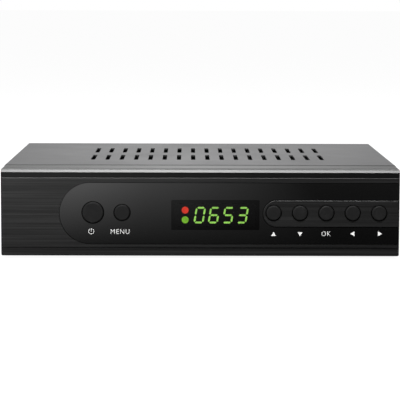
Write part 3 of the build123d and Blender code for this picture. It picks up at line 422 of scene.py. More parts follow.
class Finish(Graph):
    """A material's node tree, built round one Principled shader."""

    def __init__(self, name, colour, roughness, metallic=0.0, **sockets):
        self.material = bpy.data.materials.new(name)
        self.material.use_nodes = True
        super().__init__(self.material.node_tree)
        self.shader = self.tree.nodes["Principled BSDF"]
        self.colour = (*colour, 1.0)
        self.roughness = roughness
        self.material.diffuse_color = self.colour
        sockets.update(Base_Color=self.colour, Roughness=roughness, Metallic=metallic)
        for socket, value in sockets.items():
            self.shader.inputs[socket.replace("_", " ")].default_value = value

    def drive(self, value, socket):
        """Let an output drive one of the shader's inputs."""
        self.feed(value, self.shader.inputs[socket])

    def noise(self, scale, detail=3.0, rough=0.6, distortion=0.0):
        """Noise over the object; scale, in cycles per metre, is a number or one for each axis."""
        mapping = self.node("ShaderNodeMapping")
        mapping.inputs["Scale"].default_value = scale if isinstance(scale, tuple) else (scale,) * 3
        self.feed(self.node("ShaderNodeTexCoord").outputs["Object"], mapping.inputs["Vector"])
        noise = self.node("ShaderNodeTexNoise", Scale=1.0, Detail=detail, Roughness=rough,
                          Distortion=distortion)
        self.feed(mapping.outputs["Vector"], noise.inputs["Vector"])
        return noise.outputs["Fac"]

    def uneven_gloss(self, value, spread, start=0.3, end=0.7):
        """Let a pattern vary the roughness by a spread to each side."""
        low, high = max(self.roughness - spread, 0.02), self.roughness + spread
        self.drive(self.ranged(value, low, high, start, end), "Roughness")

    def tint(self, value, other, start=0.35, end=0.75):
        """Let a pattern blend the base colour towards another colour."""
        base = self.shader.inputs["Base Color"]
        before = base.links[0].from_socket if base.is_linked else self.colour
        factor = self.ranged(value, 0.0, 1.0, start, end)
        self.drive(self.mixed(factor, before, (*other, 1.0)), "Base Color")

    def bump(self, value, depth, strength):
        """Let a pattern raise the surface by a depth in millimetres."""
        bump = self.node("ShaderNodeBump", Strength=strength, Distance=depth * MM)
        self.feed(value, bump.inputs["Height"])
        normal = self.shader.inputs["Normal"]
        if normal.is_linked:
            self.feed(normal.links[0].from_socket, bump.inputs["Normal"])
        self.drive(bump.outputs["Normal"], "Normal")

    def wipe_marks(self, spread):
        """Hair-fine marks of wiping, which vary the gloss by a spread."""
        wipe = self.noise((300.0, 40.0, 2400.0), detail=4.0, rough=0.7, distortion=0.4)
        self.uneven_gloss(wipe, spread, 0.45, 0.8)


# ------------------------------------------------------------ finishes
# Height of the middle of the recessed band between the front's raised plate and its nose, which
# is darkened with painted shade, and half its width
SHADED_BAND_MIDDLE = 46.65 * MM
SHADED_BAND_REACH = 1.5 * MM
# Width of the black print behind the display window's border
WINDOW_BORDER = 1.9 * MM
# Strength of the light from the digits and the two lamps
LIT_STRENGTH = 12.2


def shade(colour, factor):
    """A colour made lighter or darker by a factor."""
    return tuple(min(part * factor, 1.0) for part in colour)


def powder_coat(name, colour):
    """Satin powder coat: orange peel under a fine grain, with faint uneven gloss."""
    finish = Finish(name, colour, 0.42)
    fine = finish.noise(4200.0, detail=2.0)
    finish.tint(fine, shade(colour, 1.9), 0.4, 0.8)
    finish.uneven_gloss(finish.noise(14.0), 0.04)
    finish.bump(finish.noise(900.0, detail=2.0), depth=0.02, strength=0.5)
    finish.bump(fine, depth=0.012, strength=0.6)
    return finish.material


def brushed_moulding(name, colour):
    """Black metal film with fine lines drawn along X: long streaks, hair lines and faint bands.

    The film is darker below the nose, darkest in painted shade on the recessed band under it,
    and plain where it faces along X.
    """
    finish = Finish(name, colour, 0.30, 0.70, Specular_Tint=(0.7, 0.7, 0.7, 1.0))
    streak = finish.noise((5.0, 1100.0, 1100.0), detail=4.0, rough=0.8)
    hair = finish.noise((40.0, 5200.0, 5200.0), detail=2.0)
    cloud = finish.noise((6.0, 60.0, 60.0), detail=2.0)
    level = finish.axes()["Z"]
    aside = finish.maths("ABSOLUTE", finish.axes("Normal")["X"])
    ahead = finish.maths("SUBTRACT", 1.0, aside)
    below = finish.ranged(level, 0.0, 1.0, SHADED_BAND_MIDDLE, SHADED_BAND_MIDDLE - SHADED_BAND_REACH)
    # Painted shade: the recessed band under the nose, which the nose's overhang shades, is darkened
    # most.
    painted_shade = finish.maths("COMPARE", level, SHADED_BAND_MIDDLE, SHADED_BAND_REACH)
    finish.tint(finish.maths("MAXIMUM", below, aside), shade(colour, 0.72), 0.0, 1.0)
    for pattern, factor, start, end in ((streak, 1.7, 0.44, 0.72), (cloud, 0.72, 0.45, 0.8),
                                        (painted_shade, 0.36, 0.0, 1.0)):
        finish.tint(finish.maths("MULTIPLY", pattern, ahead), shade(colour, factor), start, end)
    finish.uneven_gloss(streak, 0.04)
    finish.bump(streak, depth=0.010, strength=0.4)
    finish.bump(hair, depth=0.004, strength=0.4)
    return finish.material


def polished(name, colour):
    """Polished black plastic: near mirror, with the long ripple of moulding and wipe marks."""
    finish = Finish(name, colour, 0.10, Specular_IOR_Level=0.8)
    finish.wipe_marks(0.02)
    finish.bump(finish.noise((30.0, 30.0, 80.0), detail=1.0), depth=0.015, strength=0.25)
    return finish.material


def moulded(name, colour, roughness=0.45, grain=2600.0, depth=0.012, specular=0.5):
    """Moulded plastic: a fine spark-eroded grain with slightly uneven colour and gloss."""
    finish = Finish(name, colour, roughness, Specular_IOR_Level=specular)
    fine = finish.noise(grain)
    finish.tint(finish.noise(120.0, detail=2.0), shade(colour, 1.25), 0.4, 0.8)
    finish.uneven_gloss(fine, 0.06)
    finish.bump(fine, depth, strength=0.5)
    return finish.material


def satin_keys(name, colour):
    """Satin key caps: a soft eroded grain and faint wear that polishes spots of the face."""
    finish = Finish(name, colour, 0.56, Specular_IOR_Level=0.16)
    wear = finish.noise(260.0)
    finish.tint(wear, shade(colour, 1.6), 0.5, 0.8)
    finish.uneven_gloss(wear, 0.06)
    finish.bump(finish.noise(3600.0, detail=2.0), depth=0.008, strength=0.5)
    return finish.material


def smoked(name, node, border):
    """Smoked clear plastic with a hard polished face, printed black behind its border.

    The print covers every point that lies nearer to the node's edge than the border, across or
    upwards.
    """
    finish = Finish(name, (0.08, 0.08, 0.086), 0.05, Transmission_Weight=1.0, IOR=1.49,
                    Specular_IOR_Level=0.19)
    low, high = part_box(node)
    split = finish.axes()
    inside = []
    for index, axis in ((0, "X"), (2, "Z")):
        centre, reach = (low[index] + high[index]) / 2, (high[index] - low[index]) / 2
        inside.append(finish.maths("COMPARE", split[axis], centre, reach - border))
    clear = finish.maths("MULTIPLY", *inside)
    finish.drive(finish.mixed(clear, BLACK, finish.colour), "Base Color")
    finish.wipe_marks(0.015)
    return finish.material


def lit(name, colour):
    """Lit plastic: its own colour, brighter in the middle of the cloud of light behind it."""
    finish = Finish(name, colour, 0.4, Emission_Strength=LIT_STRENGTH)
    cloud = finish.ranged(finish.noise(700.0, detail=1.0), 0.0, 1.0)
    dim, bright = ((*shade(colour, factor), 1.0) for factor in (0.86, 1.15))
    finish.drive(finish.mixed(cloud, dim, bright), "Emission Color")
    return finish.material


def plated(name, colour, roughness=0.2, streaks=600.0):
    """Plated metal: bright, with fine drawn scratches and dull patches of handling."""
    finish = Finish(name, colour, roughness, 1.0)
    scratch = finish.noise(streaks, detail=5.0, rough=0.7)
    finish.tint(finish.noise(90.0), shade(colour, 0.72), 0.45, 0.8)
    finish.uneven_gloss(scratch, 0.09)
    finish.bump(scratch, depth=0.006, strength=0.5)
    return finish.material


def solder_mask(name):
    """Green solder mask with brighter copper runs that show through it."""
    finish = Finish(name, (0.012, 0.11, 0.045), 0.3)
    runs = finish.noise((420.0, 60.0, 420.0), detail=1.0)
    cross = finish.noise((60.0, 420.0, 60.0), detail=1.0)
    finish.tint(runs, (0.02, 0.19, 0.075), 0.5, 0.53)
    finish.tint(cross, (0.02, 0.17, 0.07), 0.56, 0.58)
    finish.bump(runs, depth=0.03, strength=0.4)
    return finish.material


def rubber(name):
    """Moulded rubber: dull, with a chalky bloom and a fine pitted grain."""
    finish = Finish(name, (0.016, 0.016, 0.017), 0.78)
    finish.tint(finish.noise(160.0, detail=4.0), (0.05, 0.05, 0.05), 0.5, 0.85)
    finish.bump(finish.noise(3000.0), depth=0.03, strength=0.6)
    return finish.material


def ribbon(name):
    """Grey ribbon cable: parallel cores along Y, with painted shade as darker stripes between them.
    """
    finish = Finish(name, (0.42, 0.42, 0.43), 0.5)
    cores = finish.noise((1600.0, 4.0, 4.0), detail=1.0)
    # Painted shade: darker stripes stand for the grooves between the cores.
    finish.tint(cores, (0.24, 0.24, 0.25), 0.45, 0.6)
    finish.bump(cores, depth=0.08, strength=0.6)
    return finish.material


def make_finishes(colours):
    """All the finishes, by name."""
    return {
        "coat": powder_coat("powder_coat", colours.coat),
        "moulding": brushed_moulding("brushed_moulding", colours.moulding),
        "gloss": polished("polished_panel", colours.gloss),
        "keys": satin_keys("satin_keys", colours.keys),
        "window": smoked("smoked_window", "display_window", WINDOW_BORDER),
        "digits": lit("lit_digits", colours.lit_green),
        "red_lamp": lit("lit_red_lamp", colours.lamp_red),
        "green_lamp": lit("lit_green_lamp", colours.lamp_green),
        "unlit": moulded("unlit_bars", (0.010, 0.012, 0.010), 0.5),
        "print": moulded("white_print", colours.print, 0.5, 5200.0, 0.004),
        "rear_print": moulded("grey_print", (0.62, 0.62, 0.62), 0.55, 5200.0, 0.004),
        "black": moulded("black_plastic", (0.014, 0.014, 0.015)),
        "dark_module": moulded("display_face", (0.002, 0.002, 0.0025), 0.7, specular=0.1),
        "white": moulded("white_plastic", (0.74, 0.74, 0.71), 0.38),
        "yellow": moulded("yellow_plastic", (0.80, 0.56, 0.02), 0.36),
        "red": moulded("red_plastic", (0.58, 0.014, 0.014), 0.36),
        "orange": moulded("orange_plastic", (0.80, 0.17, 0.012), 0.36),
        "board": solder_mask("solder_mask"),
        "ribbon": ribbon("ribbon_cores"),
        "chip": moulded("chip_plastic", (0.018, 0.018, 0.018), 0.5),
        "sleeve": moulded("capacitor_sleeve", (0.012, 0.012, 0.02), 0.3),
        "nickel": plated("nickel_plate", colours.nickel),
        "tin": plated("tinned_sheet", (0.66, 0.66, 0.65), 0.34, (80.0, 900.0, 2600.0)),
        "zinc": plated("zinc_plate", (0.62, 0.62, 0.60), 0.36),
        "brass": plated("turned_brass", (0.70, 0.50, 0.20), 0.26, (300.0, 300.0, 4000.0)),
        "gold": plated("gold_flash", (0.86, 0.62, 0.22)),
        "green_lens": moulded("green_lens", (0.05, 0.28, 0.08), 0.2, 900.0, 0.004),
        "amber_lens": moulded("amber_lens", (0.55, 0.24, 0.02), 0.2, 900.0, 0.004),
        "anodised": plated("black_anodised", (0.035, 0.035, 0.037), 0.4),
        "screw": plated("blackened_steel", (0.05, 0.05, 0.052), 0.36),
        "rubber": rubber("foot_rubber"),
    }


NODE_FINISHES = {
    "coat": ("bottom_chassis", "top_cover"),
    "moulding": ("front_bezel",),
    "gloss": ("gloss_panel",),
    "window": ("display_window",),
    "keys": tuple(f"{key}_key" for key in KEYS),
    "white": ("lnb_insulators", "data_tongue", "audio_left_insert",
              *(f"{key}_plunger" for key in KEYS)),
    "black": ("tact_switches", "infrared_receiver", "digital_video_tongue", "network_socket",
              "av_jack_block", "dc_inlet", "switch_body", "switch_rocker"),
    "dark_module": ("display_module",),
    "digits": ("display_digits",),
    "red_lamp": ("standby_lamp",),
    "green_lamp": ("signal_lamp",),
    "board": ("front_board", "main_board"),
    "zinc": ("tapping_screws", "board_screws"),
    "ribbon": ("ribbon_cable",),
    "screw": ("case_screws",),
    "rubber": ("rubber_feet",),
    "brass": ("board_standoffs",),
    "chip": ("main_processor", "memory_chips"),
    "anodised": ("heatsink",),
    "sleeve": ("capacitors",),
    "tin": ("satellite_tuner", "aerial_tuner", "digital_video_socket", "data_socket"),
    "nickel": ("lnb_input", "lnb_output", "lnb_nuts", "aerial_input", "aerial_output",
               "av_jack_sleeves", "dc_pin"),
    "yellow": ("video_insert",),
    "red": ("audio_right_insert",),
    "orange": ("digital_audio_insert",),
}
FINISHES = {}


class RECEIVER_OT_finishes(Operator):
    """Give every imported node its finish"""

    bl_idname = "receiver.finishes"
    bl_label = "Finishes"

    def execute(self, context):
        FINISHES.update(make_finishes(context.scene.receiver_colours))
        dressed = set()
        for finish, names in NODE_FINISHES.items():
            for name in names:
                slots = NODES[name].data.materials
                slots.clear()
                slots.append(FINISHES[finish])
                dressed.add(name)
        bare = set(NODES) - dressed
        if bare:
            raise RuntimeError(f"these nodes have no finish: {sorted(bare)}")
        return {"FINISHED"}


# ------------------------------------------------------------ front
# Where the middle of each printed mark stands, in millimetres: across from the middle of its
# key, and above the lower edge of the glossy panel
MARK_PLACES = {
    "power": (-0.9, 6.85), "menu": (-1.1, 6.75), "up": (0.05, 5.58), "down": (0.2, 5.54),
    "ok": (0.0, 5.8), "left": (0.0, 5.82), "right": (0.7, 5.82),
}
# How far each arrow is turned from pointing up, in degrees anticlockwise
ARROW_TURNS = {"up": 0, "left": 90, "down": 180, "right": 270}
# Half of the gap at the top of the power mark's ring, in degrees, and the points on each arc
HALF_GAP = 32
RING_POINTS = 33
# Shapes of the power mark's bar, in strokes and outer radii, and of an arrow, in longest sides
POWER_BAR = ((-0.5, -0.1), (0.5, -0.1), (0.5, 1.04), (-0.5, 1.04))
ARROW = ((-0.5, -0.42), (0.5, -0.42), (0.0, 0.46))
# Thinning of the words under the keys, as a share of the font's size
LETTER_WEIGHT = -0.010


class RECEIVER_OT_marks(Operator):
    """Print the marks under the keys"""

    bl_idname = "receiver.marks"
    bl_label = "Front marks"

    def execute(self, context):
        sizes = context.scene.receiver_sizes
        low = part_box("gloss_panel")[0]
        front, paper = low.y, sizes.print_thickness
        spots = {key: (middle(f"{key}_key").x + aside * MM, low.z + above * MM)
                 for key, (aside, above) in MARK_PLACES.items()}
        # Power mark: a ring with a gap at the top and a bar through the gap.
        outer = sizes.power_ring / 2
        start, end = 90 + HALF_GAP, 450 - HALF_GAP
        ring = [arc(spots["power"], outer, start, end, RING_POINTS),
                arc(spots["power"], outer - sizes.stroke, end, start, RING_POINTS)]
        bar = np.array(POWER_BAR) * (sizes.stroke, outer) + spots["power"]
        outlines = [np.concatenate(ring), bar]
        for key, turn in ARROW_TURNS.items():
            sine, cosine = math.sin(math.radians(turn)), math.cos(math.radians(turn))
            corners = np.array(ARROW) * sizes.arrow @ np.array([(cosine, sine), (-sine, cosine)])
            outlines.append(rounded(corners, 0.12 * MM) + spots[key])
        shells = [slab(outline, front - paper, front) for outline in outlines]
        for key, word, width in (("menu", "MENU", sizes.menu_width), ("ok", "OK", sizes.ok_width)):
            shells.append(lettering(word, spots[key], width, sizes.letter_height, front, paper,
                                    LETTER_WEIGHT))
        piece("front_marks", shells, FINISHES["print"], smooth=False)
        return {"FINISHED"}


# Bars that each digit leaves dark, and the ends of each, in widths and half heights of the digit
DARK_BARS = ("g", "b", "be", "ef")
BAR_ENDS = {"b": ((1, 1), (1, 2)), "e": ((0, 0), (0, 1)), "f": ((0, 1), (0, 2)),
            "g": ((0, 1), (1, 1))}


class RECEIVER_OT_display(Operator):
    """Add the unlit bars of the display"""

    bl_idname = "receiver.display"
    bl_label = "Display"

    def execute(self, context):
        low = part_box("display_digits")[0]
        front, back = low.y + 0.1 * MM, low.y + 0.35 * MM
        width, height, pitch, bar, gap = 5.6 * MM, 9.2 * MM, 7.9 * MM, 1.0 * MM, 0.6 * MM
        slant = math.tan(math.radians(9.0))
        first_left = low.x - slant * (gap + bar) / 2
        shells = []
        for place, names in enumerate(DARK_BARS):
            for name in names:
                first, last = np.array(BAR_ENDS[name]) * (width - bar, (height - bar) / 2)
                along = (last - first) / np.linalg.norm(last - first)
                across = np.array([-along[1], along[0]]) * bar / 2
                tip, shoulder = along * gap / 2, along * (gap + bar) / 2
                flat = np.array([
                    first + tip, first + shoulder + across, last - shoulder + across,
                    last - tip, last - shoulder - across, first + shoulder - across,
                ])
                flat[:, 0] += first_left + place * pitch + bar / 2 + slant * flat[:, 1]
                flat[:, 1] += low.z + bar / 2
                shells.append(slab(flat, front, back))
        piece("unlit_bars", shells, FINISHES["unlit"], smooth=False)
        return {"FINISHED"}


# ------------------------------------------------------------ rear and feet
# How deep the round rear sockets are open behind their rims
SOCKET_DEPTH = 9.0 * MM
# Rows of points along one turn of a thread
TURN_ROWS = 10


class RECEIVER_OT_satellite_sockets(Operator):
    """Turn the satellite sockets with a cut thread, and their chamfered nuts"""

    bl_idname = "receiver.satellite_sockets"
    bl_label = "Satellite sockets"

    def execute(self, context):
        sizes = context.scene.receiver_sizes
        wall, tip = (corner.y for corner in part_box("lnb_nuts"))
        nuts = []
        for node in ("lnb_input", "lnb_output"):
            centre, radius, back, rim = round_box(node)
            nuts.append(self.nut(centre, wall, tip, sizes.nut_flats))
            barrel = self.barrel(centre, radius, back, tip + 0.2 * MM, rim, sizes)
            piece(f"{node}_barrel", [barrel], FINISHES["nickel"], replaces=(node,))
        piece("satellite_nuts", nuts, FINISHES["nickel"], replaces=("lnb_nuts",))
        return {"FINISHED"}

    def barrel(self, centre, crest, back, start, rim, sizes, sides=48):
        """A threaded tube with a rounded mouth.

        Along the thread the radius falls from the crest by a rounded wave of the height less the
        turn, which fades out at both ends.
        """
        pitch, depth = sizes.thread_pitch, sizes.thread_depth
        root, bore, lip, mouth = crest - depth, 3.2 * MM, 0.25 * MM, 0.35 * MM
        end, floor = rim - 0.3 * MM, rim - SOCKET_DEPTH
        rows = int((end - start) / pitch) * TURN_ROWS + 1
        height = np.linspace(start, end, rows)[:, None]
        angle = np.linspace(0, 2 * np.pi, sides, endpoint=False)
        phase = (height - start) / pitch - angle / (2 * np.pi)
        wave = np.clip(np.abs((phase % 1.0) * 2 - 1) * 1.25 - 0.1, 0, 1)
        fade = np.clip(np.minimum(height - start, end - height) / (0.5 * pitch), 0, 1)
        thread = crest - depth * (1 - (1 - wave) * fade)
        before = np.array([(0.0, back), (root, back), (root, start - 0.01 * MM)])
        after = np.concatenate([
            arc((root - lip, rim - lip), lip, 0, 90, 5),
            arc((bore + mouth, rim - mouth), mouth, 90, 180, 5),
            [(bore, floor), (0.0, floor)],
        ])
        wide = np.ones((1, sides))
        profile = [
            np.concatenate([before[:, [column]] * wide, along * wide, after[:, [column]] * wide])
            for column, along in ((0, thread), (1, height))
        ]
        return turned(profile, centre, sides, ring=False)

    def nut(self, centre, start, end, flats, sides=72):
        """A six-sided nut round a bore.

        The radius is half the width across the flats over the cosine of the angle from the middle
        of a flat, cut by a cone at both ends that grows by its slope times the height.
        """
        bore, narrowest, slope = 4.25 * MM, 0.49 * flats, 1.7
        angle = np.linspace(0, 2 * np.pi, sides, endpoint=False)
        hexagon = flats / 2 / np.cos(angle % (np.pi / 3) - np.pi / 6)
        depth = np.array([0.0, 0.15, 0.3, 0.45, 0.6]) * MM
        height = np.concatenate([start + depth, (end - depth)[::-1]])
        cone = narrowest + slope * np.minimum(height - start, end - height)
        inner = np.full((1, sides), bore)
        radius = np.concatenate([inner, np.minimum(hexagon, cone[:, None]), inner])
        level = np.concatenate([[start], height, [end]])[:, None] * np.ones((1, sides))
        return turned((radius, level), centre, sides)


class RECEIVER_OT_aerial_sockets(Operator):
    """Draw the aerial sockets' shells with rounded rims and set a contact in each"""

    bl_idname = "receiver.aerial_sockets"
    bl_label = "Aerial sockets"

    def execute(self, context):
        thickness, lip, edge = 0.7 * MM, 0.3 * MM, 0.45 * MM
        for node, contact, bore in (("aerial_input", 1.5 * MM, 0.7 * MM),
                                    ("aerial_output", 1.2 * MM, 0.0)):
            centre, outer, back, rim = round_box(node)
            wall, bottom = rim - SOCKET_DEPTH, rim - 6.0 * MM
            shell = lipped_tube(outer, outer - thickness, wall, rim, lip)
            neck, top = outer - 0.5 * MM, wall + 0.05 * MM
            root = np.array([(0.0, back), (neck, back), (neck, top), (0.0, top)]).T
            tip = arc((contact - edge, rim - edge), edge, 0, 90, 6)
            hole = [(bore, rim), (bore, bottom), (0.0, bottom)] if bore else [(0.0, rim)]
            pin = np.concatenate([[(0.0, wall), (contact, wall)], tip, hole]).T
            shells = [turned(shell, centre), turned(root, centre, ring=False),
                      turned(pin, centre, 32, ring=False)]
            piece(f"{node}_shell", shells, FINISHES["nickel"], replaces=(node,))
        return {"FINISHED"}


class RECEIVER_OT_phono_jacks(Operator):
    """Turn the phono jacks: plated sleeves, coloured collars and spring contacts"""

    bl_idname = "receiver.phono_jacks"
    bl_label = "Phono jacks"

    def execute(self, context):
        core, bore, edge, mouth = 3.5 * MM, 1.65 * MM, 0.4 * MM, 0.3 * MM
        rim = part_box("av_jack_sleeves")[1].y
        collar = rim - SOCKET_DEPTH
        sleeves = []
        springs = []
        for node, colour in (("video_insert", "yellow"), ("audio_left_insert", "white"),
                             ("audio_right_insert", "red"), ("digital_audio_insert", "orange")):
            centre, reach, back, tip = round_box(node)
            bottom = tip - 8.0 * MM
            profile = np.concatenate([
                [(0.0, back), (reach, back)],
                arc((reach - edge, collar - edge), edge, 0, 90, 6),
                [(core, collar), (core, tip)],
                arc((bore + mouth, tip - mouth), mouth, 90, 180, 5),
                [(bore, bottom), (0.0, bottom)],
            ]).T
            piece(f"{node}_collar", [turned(profile, centre, ring=False)], FINISHES[colour],
                  replaces=(node,))
            sleeve = lipped_tube(4.15 * MM, 3.55 * MM, collar, rim, 0.28 * MM)
            sleeves.append(turned(sleeve, centre))
            spring = lipped_tube(1.6 * MM, 1.3 * MM, bottom + 0.1 * MM, tip - 1.2 * MM, 0.14 * MM)
            springs.append(turned(spring, centre, 32))
        piece("jack_sleeves", sleeves, FINISHES["nickel"], replaces=("av_jack_sleeves",))
        piece("jack_springs", springs, FINISHES["nickel"])
        return {"FINISHED"}


# Contacts on the tongues: node, their number, pitch and width in millimetres, and the faces
TONGUES = (("digital_video_tongue", 10, 1.0, 0.5, ("top", "bottom")),
           ("data_tongue", 4, 2.2, 1.1, ("bottom",)))


class RECEIVER_OT_port_contacts(Operator):
    """Set the gold contacts and the link lamps of the square sockets"""

    bl_idname = "receiver.port_contacts"
    bl_label = "Port contacts"

    def execute(self, context):
        low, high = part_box("network_socket")
        centre = middle("network_socket").x
        # Eight spring wires: out along the opening's roof, then down and back to its rear wall.
        roof = low.z + 10.6 * MM
        fall = np.linspace(0, 1, 9)
        path = np.column_stack([high.y - (1.2 + 10.6 * fall) * MM,
                                roof - (0.25 + 2.9 * np.sin(fall * np.pi / 2)) * MM])
        shells = [strip(centre + aside, path, 0.45 * MM, 0.2 * MM)
                  for aside in spaced(8, 1.02 * MM)]
        for tongue, count, pitch, width, faces in TONGUES:
            shells += self.contacts(tongue, count, pitch * MM, width * MM, faces)
        piece("port_contacts", shells, FINISHES["gold"], smooth=False)
        for name, side in (("green", -1), ("amber", 1)):
            place = (centre + side * 5.9 * MM, low.z + 12.1 * MM)
            outline = rounded(rectangle(1.4 * MM, 0.75 * MM), 0.3 * MM) + place
            lens = slab(outline, high.y + 0.12 * MM, high.y - 0.5 * MM, 0.1 * MM)
            piece(f"link_lamp_{name}", [lens], FINISHES[f"{name}_lens"])
        return {"FINISHED"}

    def contacts(self, tongue, count, pitch, width, faces):
        """Flat contacts in a row on each of a tongue's faces."""
        low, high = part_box(tongue)
        reach = (low.y + 0.3 * MM, (low.y + high.y) / 2, high.y - 0.6 * MM)
        levels = {"top": high.z, "bottom": low.z}
        centre = middle(tongue).x
        return [strip(centre + aside, [(y, levels[face]) for y in reach], width, 0.06 * MM)
                for face in faces for aside in spaced(count, pitch)]


class RECEIVER_OT_feet(Operator):
    """Turn the rubber feet with a rounded rim and a dished sole"""

    bl_idname = "receiver.feet"
    bl_label = "Feet"

    def execute(self, context):
        low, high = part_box("rubber_feet")
        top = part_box("bottom_chassis")[0].z
        radius, rim, edge = 6.0 * MM, 1.0 * MM, 0.4 * MM
        # From the axis outwards and up: a shallow dish, a flat ring on the ground, a quarter-round
        # rim, a rounded shoulder under the chassis, and a stem through it.
        profile = np.concatenate([
            np.array([(0.0, 0.55), (2.6, 0.5), (3.2, 0.3), (3.5, 0.0), (5.0, 0.0)]) * MM,
            arc((radius - rim, rim), rim, -90, 0, 7),
            arc((radius - edge, top - edge), edge, 0, 90, 4),
            np.array([(2.0, 3.0), (2.0, 4.5), (1.6, 4.8), (0.0, 4.8)]) * MM,
        ]).T
        shells = [turned(profile, (x, y), 40, "Z", ring=False)
                  for x in (low.x + radius, high.x - radius)
                  for y in (low.y + radius, high.y - radius)]
        piece("round_feet", shells, FINISHES["rubber"], replaces=("rubber_feet",))
        return {"FINISHED"}


# Word at each rear socket, and how far above the socket's middle it stands, in millimetres
REAR_WORDS = {
    "lnb_input": ("LNB IN", 8.2), "lnb_output": ("LNB OUT", 8.2),
    "aerial_input": ("ANT IN", 8.2), "aerial_output": ("ANT OUT", 8.2),
    "video_insert": ("VIDEO", 7.0), "audio_left_insert": ("L", 7.0),
    "audio_right_insert": ("R", -7.0), "digital_audio_insert": ("COAX", -7.0),
    "network_socket": ("LAN", 9.2), "data_socket": ("DATA", 5.6),
    "digital_video_socket": ("AV OUT", 5.6), "dc_inlet": ("DC 12V", 8.0),
}


class RECEIVER_OT_rear_marks(Operator):
    """Print the plain words at the rear sockets and the marks on the rocker"""

    bl_idname = "receiver.rear_marks"
    bl_label = "Rear marks"

    def execute(self, context):
        sizes = context.scene.receiver_sizes
        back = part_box("bottom_chassis")[1].y
        paper = sizes.print_thickness
        shells = []
        for node, (words, rise) in REAR_WORDS.items():
            centre = (middle(node).x, middle(node).z + rise * MM)
            shells.append(lettering(words, centre, None, sizes.rear_letter, back, paper, facing=1))
        piece("rear_marks", shells, FINISHES["rear_print"], smooth=False)
        self.rocker(paper)
        return {"FINISHED"}

    def rocker(self, paper):
        """A ring and a bar on the rocker's two faces.

        Each is drawn on a face that rises from the middle by the rocker's tilt, and is then turned
        by the same tilt about the pivot.
        """
        joints = frame["record"]["behaviour"]["joints"]
        pivot = next(joint["pos_m"] for joint in joints if joint["name"] == "power_rock")
        tilt = math.radians(10.0)
        face, aside, inner, outer = 3.2 * MM, 4.0 * MM, 1.1 * MM, 1.5 * MM
        ring = np.array([(inner, 0.0), (outer, 0.0), (outer, paper), (inner, paper)]).T
        bar = rectangle(0.22 * MM, 1.6 * MM) + (aside, 0.0)
        shells = []
        for points, blocks in (turned(ring, (-aside, 0.0), 40), slab(bar, 0.0, paper)):
            across, height, upward = np.moveaxis(points, -1, 0)
            rise = face + np.abs(across) * math.tan(tilt) + height
            x = across * math.cos(tilt) - rise * math.sin(tilt)
            y = across * math.sin(tilt) + rise * math.cos(tilt)
            shells.append((np.stack([x, y, upward], -1) + pivot, blocks))
        piece("rocker_marks", shells, FINISHES["print"], body="rocker", smooth=False)


# ------------------------------------------------------------ stage
# Each lamp's place, the point that it faces, and its width and height
LAMPS = {
    "ceiling": ((0.0, 0.20, 1.0), (0.0, 0.0, 0.02), (1.7, 0.3)),
    "key": ((0.0, -0.76, 0.92), (0.0, -0.08, 0.04), (0.6, 0.35)),
    "side": ((-0.75, -1.45, 0.55), (0.0, 0.0, 0.03), (1.0, 0.9)),
}
# How far the floor reaches to each side, the lines of its grid each way, and how bright it looks
FLOOR_REACH = 20.0
FLOOR_LINES = 9
FLOOR_GLOW = 0.93
# Width of the camera's sensor, in millimetres, and how far the camera sees, in metres
SENSOR_WIDTH = 36.0
SIGHT = 100.0


